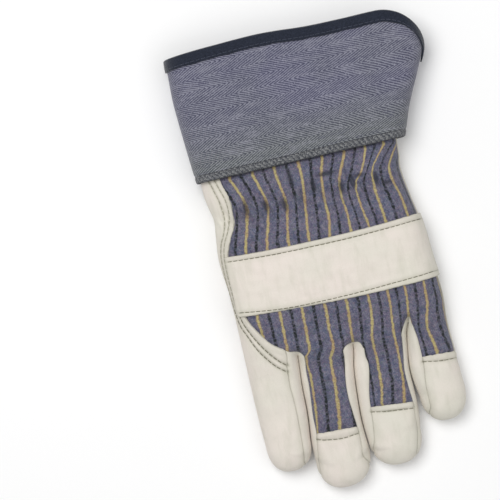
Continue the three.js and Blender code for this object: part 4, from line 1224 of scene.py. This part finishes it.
def add_cuff():
    around, high = CUFF_STEPS
    t, side = round_cuff(around)
    y = mix(CUFF_SECTIONS[0][0], rim_height(t), steps(1, high)[:, None])
    points = cuff_point(t + 0 * y, y, side + 0 * y)
    x = points[..., 0]
    from_side = np.clip(np.minimum(x - x.min(), x.max() - x) / CUFF_SWELL_EDGE, 0, 1)
    points[..., 2] += from_side * (side > 0) * swell("cuff", x, y)
    arc = lengths_along(points[high // 2])[None, :] + 0 * y
    uv = np.stack([arc, y - CUFF_SECTIONS[0][0]], -1).reshape(-1, 2)
    points = points.reshape(-1, 3)
    faces = corners_of(tube_grid(high + 1, around), False)
    normals = normals_of(points, faces)

    def relief(used, rim):
        return profile(PROFILES["hem"], uv[used, 1])

    shaped, shell_faces, used, _ = shell(points, normals, faces, CUFF_WALL, 0, 0, relief)
    layers = {"pattern": np.tile(uv[used], (2, 1))}
    piece = make_piece("cuff", shaped, shell_faces, herringbone, "cuff", layers)
    return piece, points.reshape(high + 1, around, 3), normals.reshape(high + 1, around, 3)


cuff_piece, cuff_points, cuff_normals = add_cuff()


def add_wrist_seam():
    """The turned-in seam that joins the hand to the cuff fills the space between them, inside the hem."""
    loops, bite = [], WRIST_SEAM["bite"]
    for row in WRIST_SEAM["cuff_rows"]:
        outer = cuff_points[row] - cuff_normals[row] * (CUFF_WALL - bite)
        t, side = round_cuff(len(outer))
        y = cuff_points[row, :, 1]
        x = mix(along(LINES["thumb_side"], y) + bite, along(LINES["little_side"], y) - bite, t)
        z = hand_height(x, y, side, distance_to(OUTLINE, x, y)) - side * bite
        pair = [outer, np.stack([x, y, z], 1)]
        loops += pair if not loops else pair[::-1]
    add_channel("wrist_seam", loops, WRIST_SEAM["heights"], herringbone, upward=False)


add_wrist_seam()


def foot_below_rim(down):
    """Points of the cuff at a distance below the rim, and their normals."""
    rows, normals = cuff_points[::-1][:ROWS_BELOW_RIM], cuff_normals[::-1][:ROWS_BELOW_RIM]
    rim = rows[0]
    down = np.broadcast_to(down, (len(rim),))
    length = np.linalg.norm(rows - rim, axis=2)
    foot, direction = np.empty_like(rim), np.empty_like(rim)
    for i in range(len(rim)):
        for axis in range(3):
            for result, source in ((foot, rows), (direction, normals)):
                result[i, axis] = np.interp(down[i], length[:, i], source[:, i, axis])
    outward = np.where(down < 0, down, 0)[:, None] * unit(rows[1] - rim)
    return foot + outward, unit(direction)


def add_binding():
    """The binding is a channel folded over the rim: its section is swept round the cuff."""
    near, reach, middle = BINDING["gap"], BINDING["width"], -CUFF_WALL / 2
    far = near + BINDING["wall"]
    edge_out, edge_in, bulge = (BINDING_BULGE[key] for key in ("edge_out", "edge_in", "middle"))
    upper = [(reach, near), (reach + edge_out, (near + far) / 2)]
    upper += [(reach - edge_in, far), (reach / 2, far + bulge)]
    fold = [
        (-BINDING["overhang"] * math.sin(a), middle + (CUFF_WALL / 2 + far) * math.cos(a))
        for a in np.radians(BINDING["fold_angles"])
    ]
    lower = [(down, 2 * middle - out) for down, out in upper[::-1]]
    section = upper + fold + lower + [(-near, 2 * middle - near), (-near, near)]
    arc = lengths_along(cuff_points[-1])
    ripple = sum(height * np.sin(arc / length + phase) for height, length, phase in BINDING_RIPPLE)
    loops = []
    for down, out in section:
        foot, normal = foot_below_rim(down + (ripple if down > reach / 2 else 0))
        loops.append(foot + normal * out)
    heights = [down for down, _ in section]
    return add_channel("cuff_binding", loops, heights, tape, "cuff_binding", arc)


binding_piece = add_binding()


# Patch and welt

def patch_seams():
    """The rows of stitches on the patch: one inside its edge and two across its lower end."""
    centre, half = PATCH["centre"], PATCH["half_width"] - PATCH["inset"]
    corner, top = PATCH["corner"] - PATCH["inset"], PATCH["top"] - PATCH["inset"]
    bottom = PATCH["cross_rows"][0]
    right = [(centre + half, bottom), (centre + half, (bottom + top - corner) / 2)]
    right += [
        (centre + half - corner + corner * math.cos(a), top - corner + corner * math.sin(a))
        for a in np.radians(np.arange(0, 91, 10))
    ]
    left = [(2 * centre - x, y) for x, y in right[::-1]]
    sag = PATCH["cross_sag"]
    across = [[(centre - half, y), (centre, y - sag), (centre + half, y)] for y in PATCH["cross_rows"]]
    return [resample(line, SEAM_PITCH) for line in [right + left, *across]]


def add_patch():
    wide, high = PATCH_STEPS
    column, row = np.meshgrid(steps(1, wide), steps(1, high))
    y = mix(PATCH["bottom"], PATCH["top"], np.sin(row * math.pi / 2))
    past = np.clip((y - (PATCH["top"] - PATCH["corner"])) / PATCH["corner"], 0, 1)
    half = PATCH["half_width"] - PATCH["corner"] * (1 - np.sqrt(1 - past ** 2))
    left, right, _, _ = cuff_section(y)
    x = PATCH["centre"] + half * (2 * column - 1)
    points = cuff_point((x - left) / (right - left), y, -1).reshape(-1, 3)
    faces = corners_of(np.arange(len(points)).reshape(y.shape), True)
    shape = (points, normals_of(points, faces), faces, PATCH["wall"], PATCH["lift"], 0)
    return add_leather("pulse_patch", *shape, PROFILES["patch"], PATCH_SEAMS)


PATCH_SEAMS = patch_seams()
patch_piece = add_patch()


def tube(points, normals, radius, sides=8, squeeze=1.0):
    """A closed round bead through points, with pinched ends."""
    tangent = unit(np.gradient(points, axis=0))
    aside = unit(np.cross(tangent, normals))
    up = np.cross(aside, tangent)
    angle = 2 * math.pi * np.arange(sides)[None, :, None] / sides
    size = np.broadcast_to(radius, (len(points),))[:, None, None]
    ring = np.cos(angle) * aside[:, None] + squeeze * np.sin(angle) * up[:, None]
    body = (points[:, None] + size * ring).reshape(-1, 3)
    grid = tube_grid(len(points), sides)
    return body, [list(face) for face in corners_of(grid)] + [list(grid[0, :-1]), list(grid[-1, -2::-1])]


def add_welt():
    """The welt runs along the foot of the middle and ring fingers' fronts."""
    first, last = FINGERS[1]["seams"][0] * COLUMN_STEPS, FINGERS[2]["seams"][1] * COLUMN_STEPS
    middle, ring = (hand_grids[n, -1][FORK_ROW * ROW_STEPS] for n in (1, 2))
    line = [*middle[first:], *ring[1:last + 1]]
    ends = np.linspace(-1, 1, len(line)) ** WELT["end_power"]
    radius = WELT["radius"] * np.sqrt(np.clip(1 - ends, WELT["end_share"], 1))
    points = skin[line] + hand_normals[line] * WELT["lift"]
    body, faces = tube(points, hand_normals[line], radius, WELT["sides"], WELT["squeeze"])
    uv = {"seam": np.full((len(body), 2), FAR)}
    make_piece("finger_welt", body, faces, welt_leather, "finger_welt", uv)


add_welt()


# Stitches

def tree_of(pieces):
    points, faces = [], []
    for piece in pieces:
        start = len(points)
        points += [vertex.co.copy() for vertex in piece.data.vertices]
        faces += [[i + start for i in polygon.vertices] for polygon in piece.data.polygons]
    return BVHTree.FromPolygons(points, faces)


def drop(tree, flat, side):
    """Where points land on a piece from above or below, and its normals there. None where they miss."""
    landed = []
    for x, y in flat:
        start = Vector(((x + ORIGIN[0]) * MM, (y + ORIGIN[1]) * MM, RAY_START[side]))
        hit, normal, _, _ = tree.ray_cast(start, Vector((0, 0, -side)))
        landed.append(None if hit is None else (np.array(hit) / MM - ORIGIN, np.array(normal)))
    return landed


def stitches(name, lines, pieces, thread, side=1):
    """Short beads of thread along lines that lie on some pieces."""
    tree = tree_of(pieces)
    points, faces = [], []
    spots, pitch = STITCH["spots"], STITCH["length"] + STITCH["gap"]
    places, sizes = (np.array(column) for column in zip(*STITCH_SHAPE))
    rise = np.where(sizes < 1, -STITCH["sink"], STITCH["proud"])[:, None]
    at = places * spots * STITCH["length"] / pitch
    for line in lines:
        landed = drop(tree, resample(line, pitch / spots), side)
        for i in range(0, len(landed) - spots, spots):
            if any(spot is None for spot in landed[i:i + spots + 1]):
                continue
            feet, normals = (np.array(column) for column in zip(*landed[i:i + spots + 1]))
            up = normals.mean(0)
            path = np.stack([np.interp(at, range(spots + 1), column) for column in feet.T], 1)
            normals = np.tile(up, (len(path), 1))
            body, own = tube(path + up * rise, normals, STITCH["radius"] * sizes, STITCH["sides"])
            faces += [[k + len(points) for k in face] for face in own]
            points += list(body)
    make_piece("stitches_" + name, np.array(points), faces, threads[thread])


def binding_row():
    """The row of stitches along the binding's inner edge."""
    feet = foot_below_rim(BINDING_ROW["down"])[0]
    feet = feet[:len(feet) // 2:BINDING_ROW["every"], :2]
    low, high = BINDING_ROW["reach"]
    return feet[(feet[:, 0] > low) & (feet[:, 0] < high)]


for group, thread in (("wrap", "pale"), ("index", "olive"), ("tip", "grey")):
    lines = [line for name, line in STITCHES_ON_BACK.items() if name.startswith(group)]
    stitches(group, lines, skin_pieces, thread)
stitches("strap", STITCHES_ON_STRAP.values(), [strap_piece], "olive")
hem_row = [(x, CUFF_SECTIONS[0][0] + HEM["row"]) for x in np.linspace(*HEM["reach"], HEM["points"])]
for end, side in (("over", 1), ("under", -1)):
    stitches("hem_" + end, [hem_row], [cuff_piece], "dark", side)
    stitches("binding_" + end, [binding_row()], [binding_piece], "navy", side)
stitches("patch", PATCH_SEAMS, [patch_piece], "olive", -1)


# Stage, light and camera

def add_floor():
    mesh = bpy.data.meshes.new("floor")
    corners = [(x * FLOOR_HALF, y * FLOOR_HALF, 0) for x, y in ((-1, -1), (1, -1), (1, 1), (-1, 1))]
    mesh.from_pydata(corners, [], [(0, 1, 2, 3)])
    mesh.materials.append(floor_material())
    floor = bpy.data.objects.new("floor", mesh)
    bpy.context.scene.collection.objects.link(floor)


def add_light(name, place, size, power):
    data = bpy.data.lights.new(name, "AREA")
    data.shape = "SQUARE"
    data.size = size
    data.energy = power
    light = bpy.data.objects.new(name, data)
    light.location = place
    light.rotation_euler = (Vector(LIGHT_TARGET) - Vector(place)).to_track_quat("-Z", "Y").to_euler()
    bpy.context.scene.collection.objects.link(light)


def add_world():
    world = bpy.data.worlds.new("studio")
    world.use_nodes = True
    background = world.node_tree.nodes["Background"]
    background.inputs["Color"].default_value = (1, 1, 1, 1)
    background.inputs["Strength"].default_value = WORLD_STRENGTH
    bpy.context.scene.world = world
    bpy.context.scene.view_settings.view_transform = "Standard"


def add_camera():
    data = bpy.data.cameras.new("camera")
    data.lens = data.sensor_width * CAMERA["distance"] / CAMERA["width"]
    camera = bpy.data.objects.new("camera", data)
    camera.location = (CAMERA["x"], CAMERA["y"], CAMERA["plane"] + CAMERA["distance"])
    camera.rotation_euler = (0, 0, math.radians(CAMERA["turn"]))
    bpy.context.scene.collection.objects.link(camera)
    bpy.context.scene.camera = camera


add_floor()
for name, (place, size, power) in LIGHTS.items():
    add_light(name, place, size, power)
add_world()
add_camera()
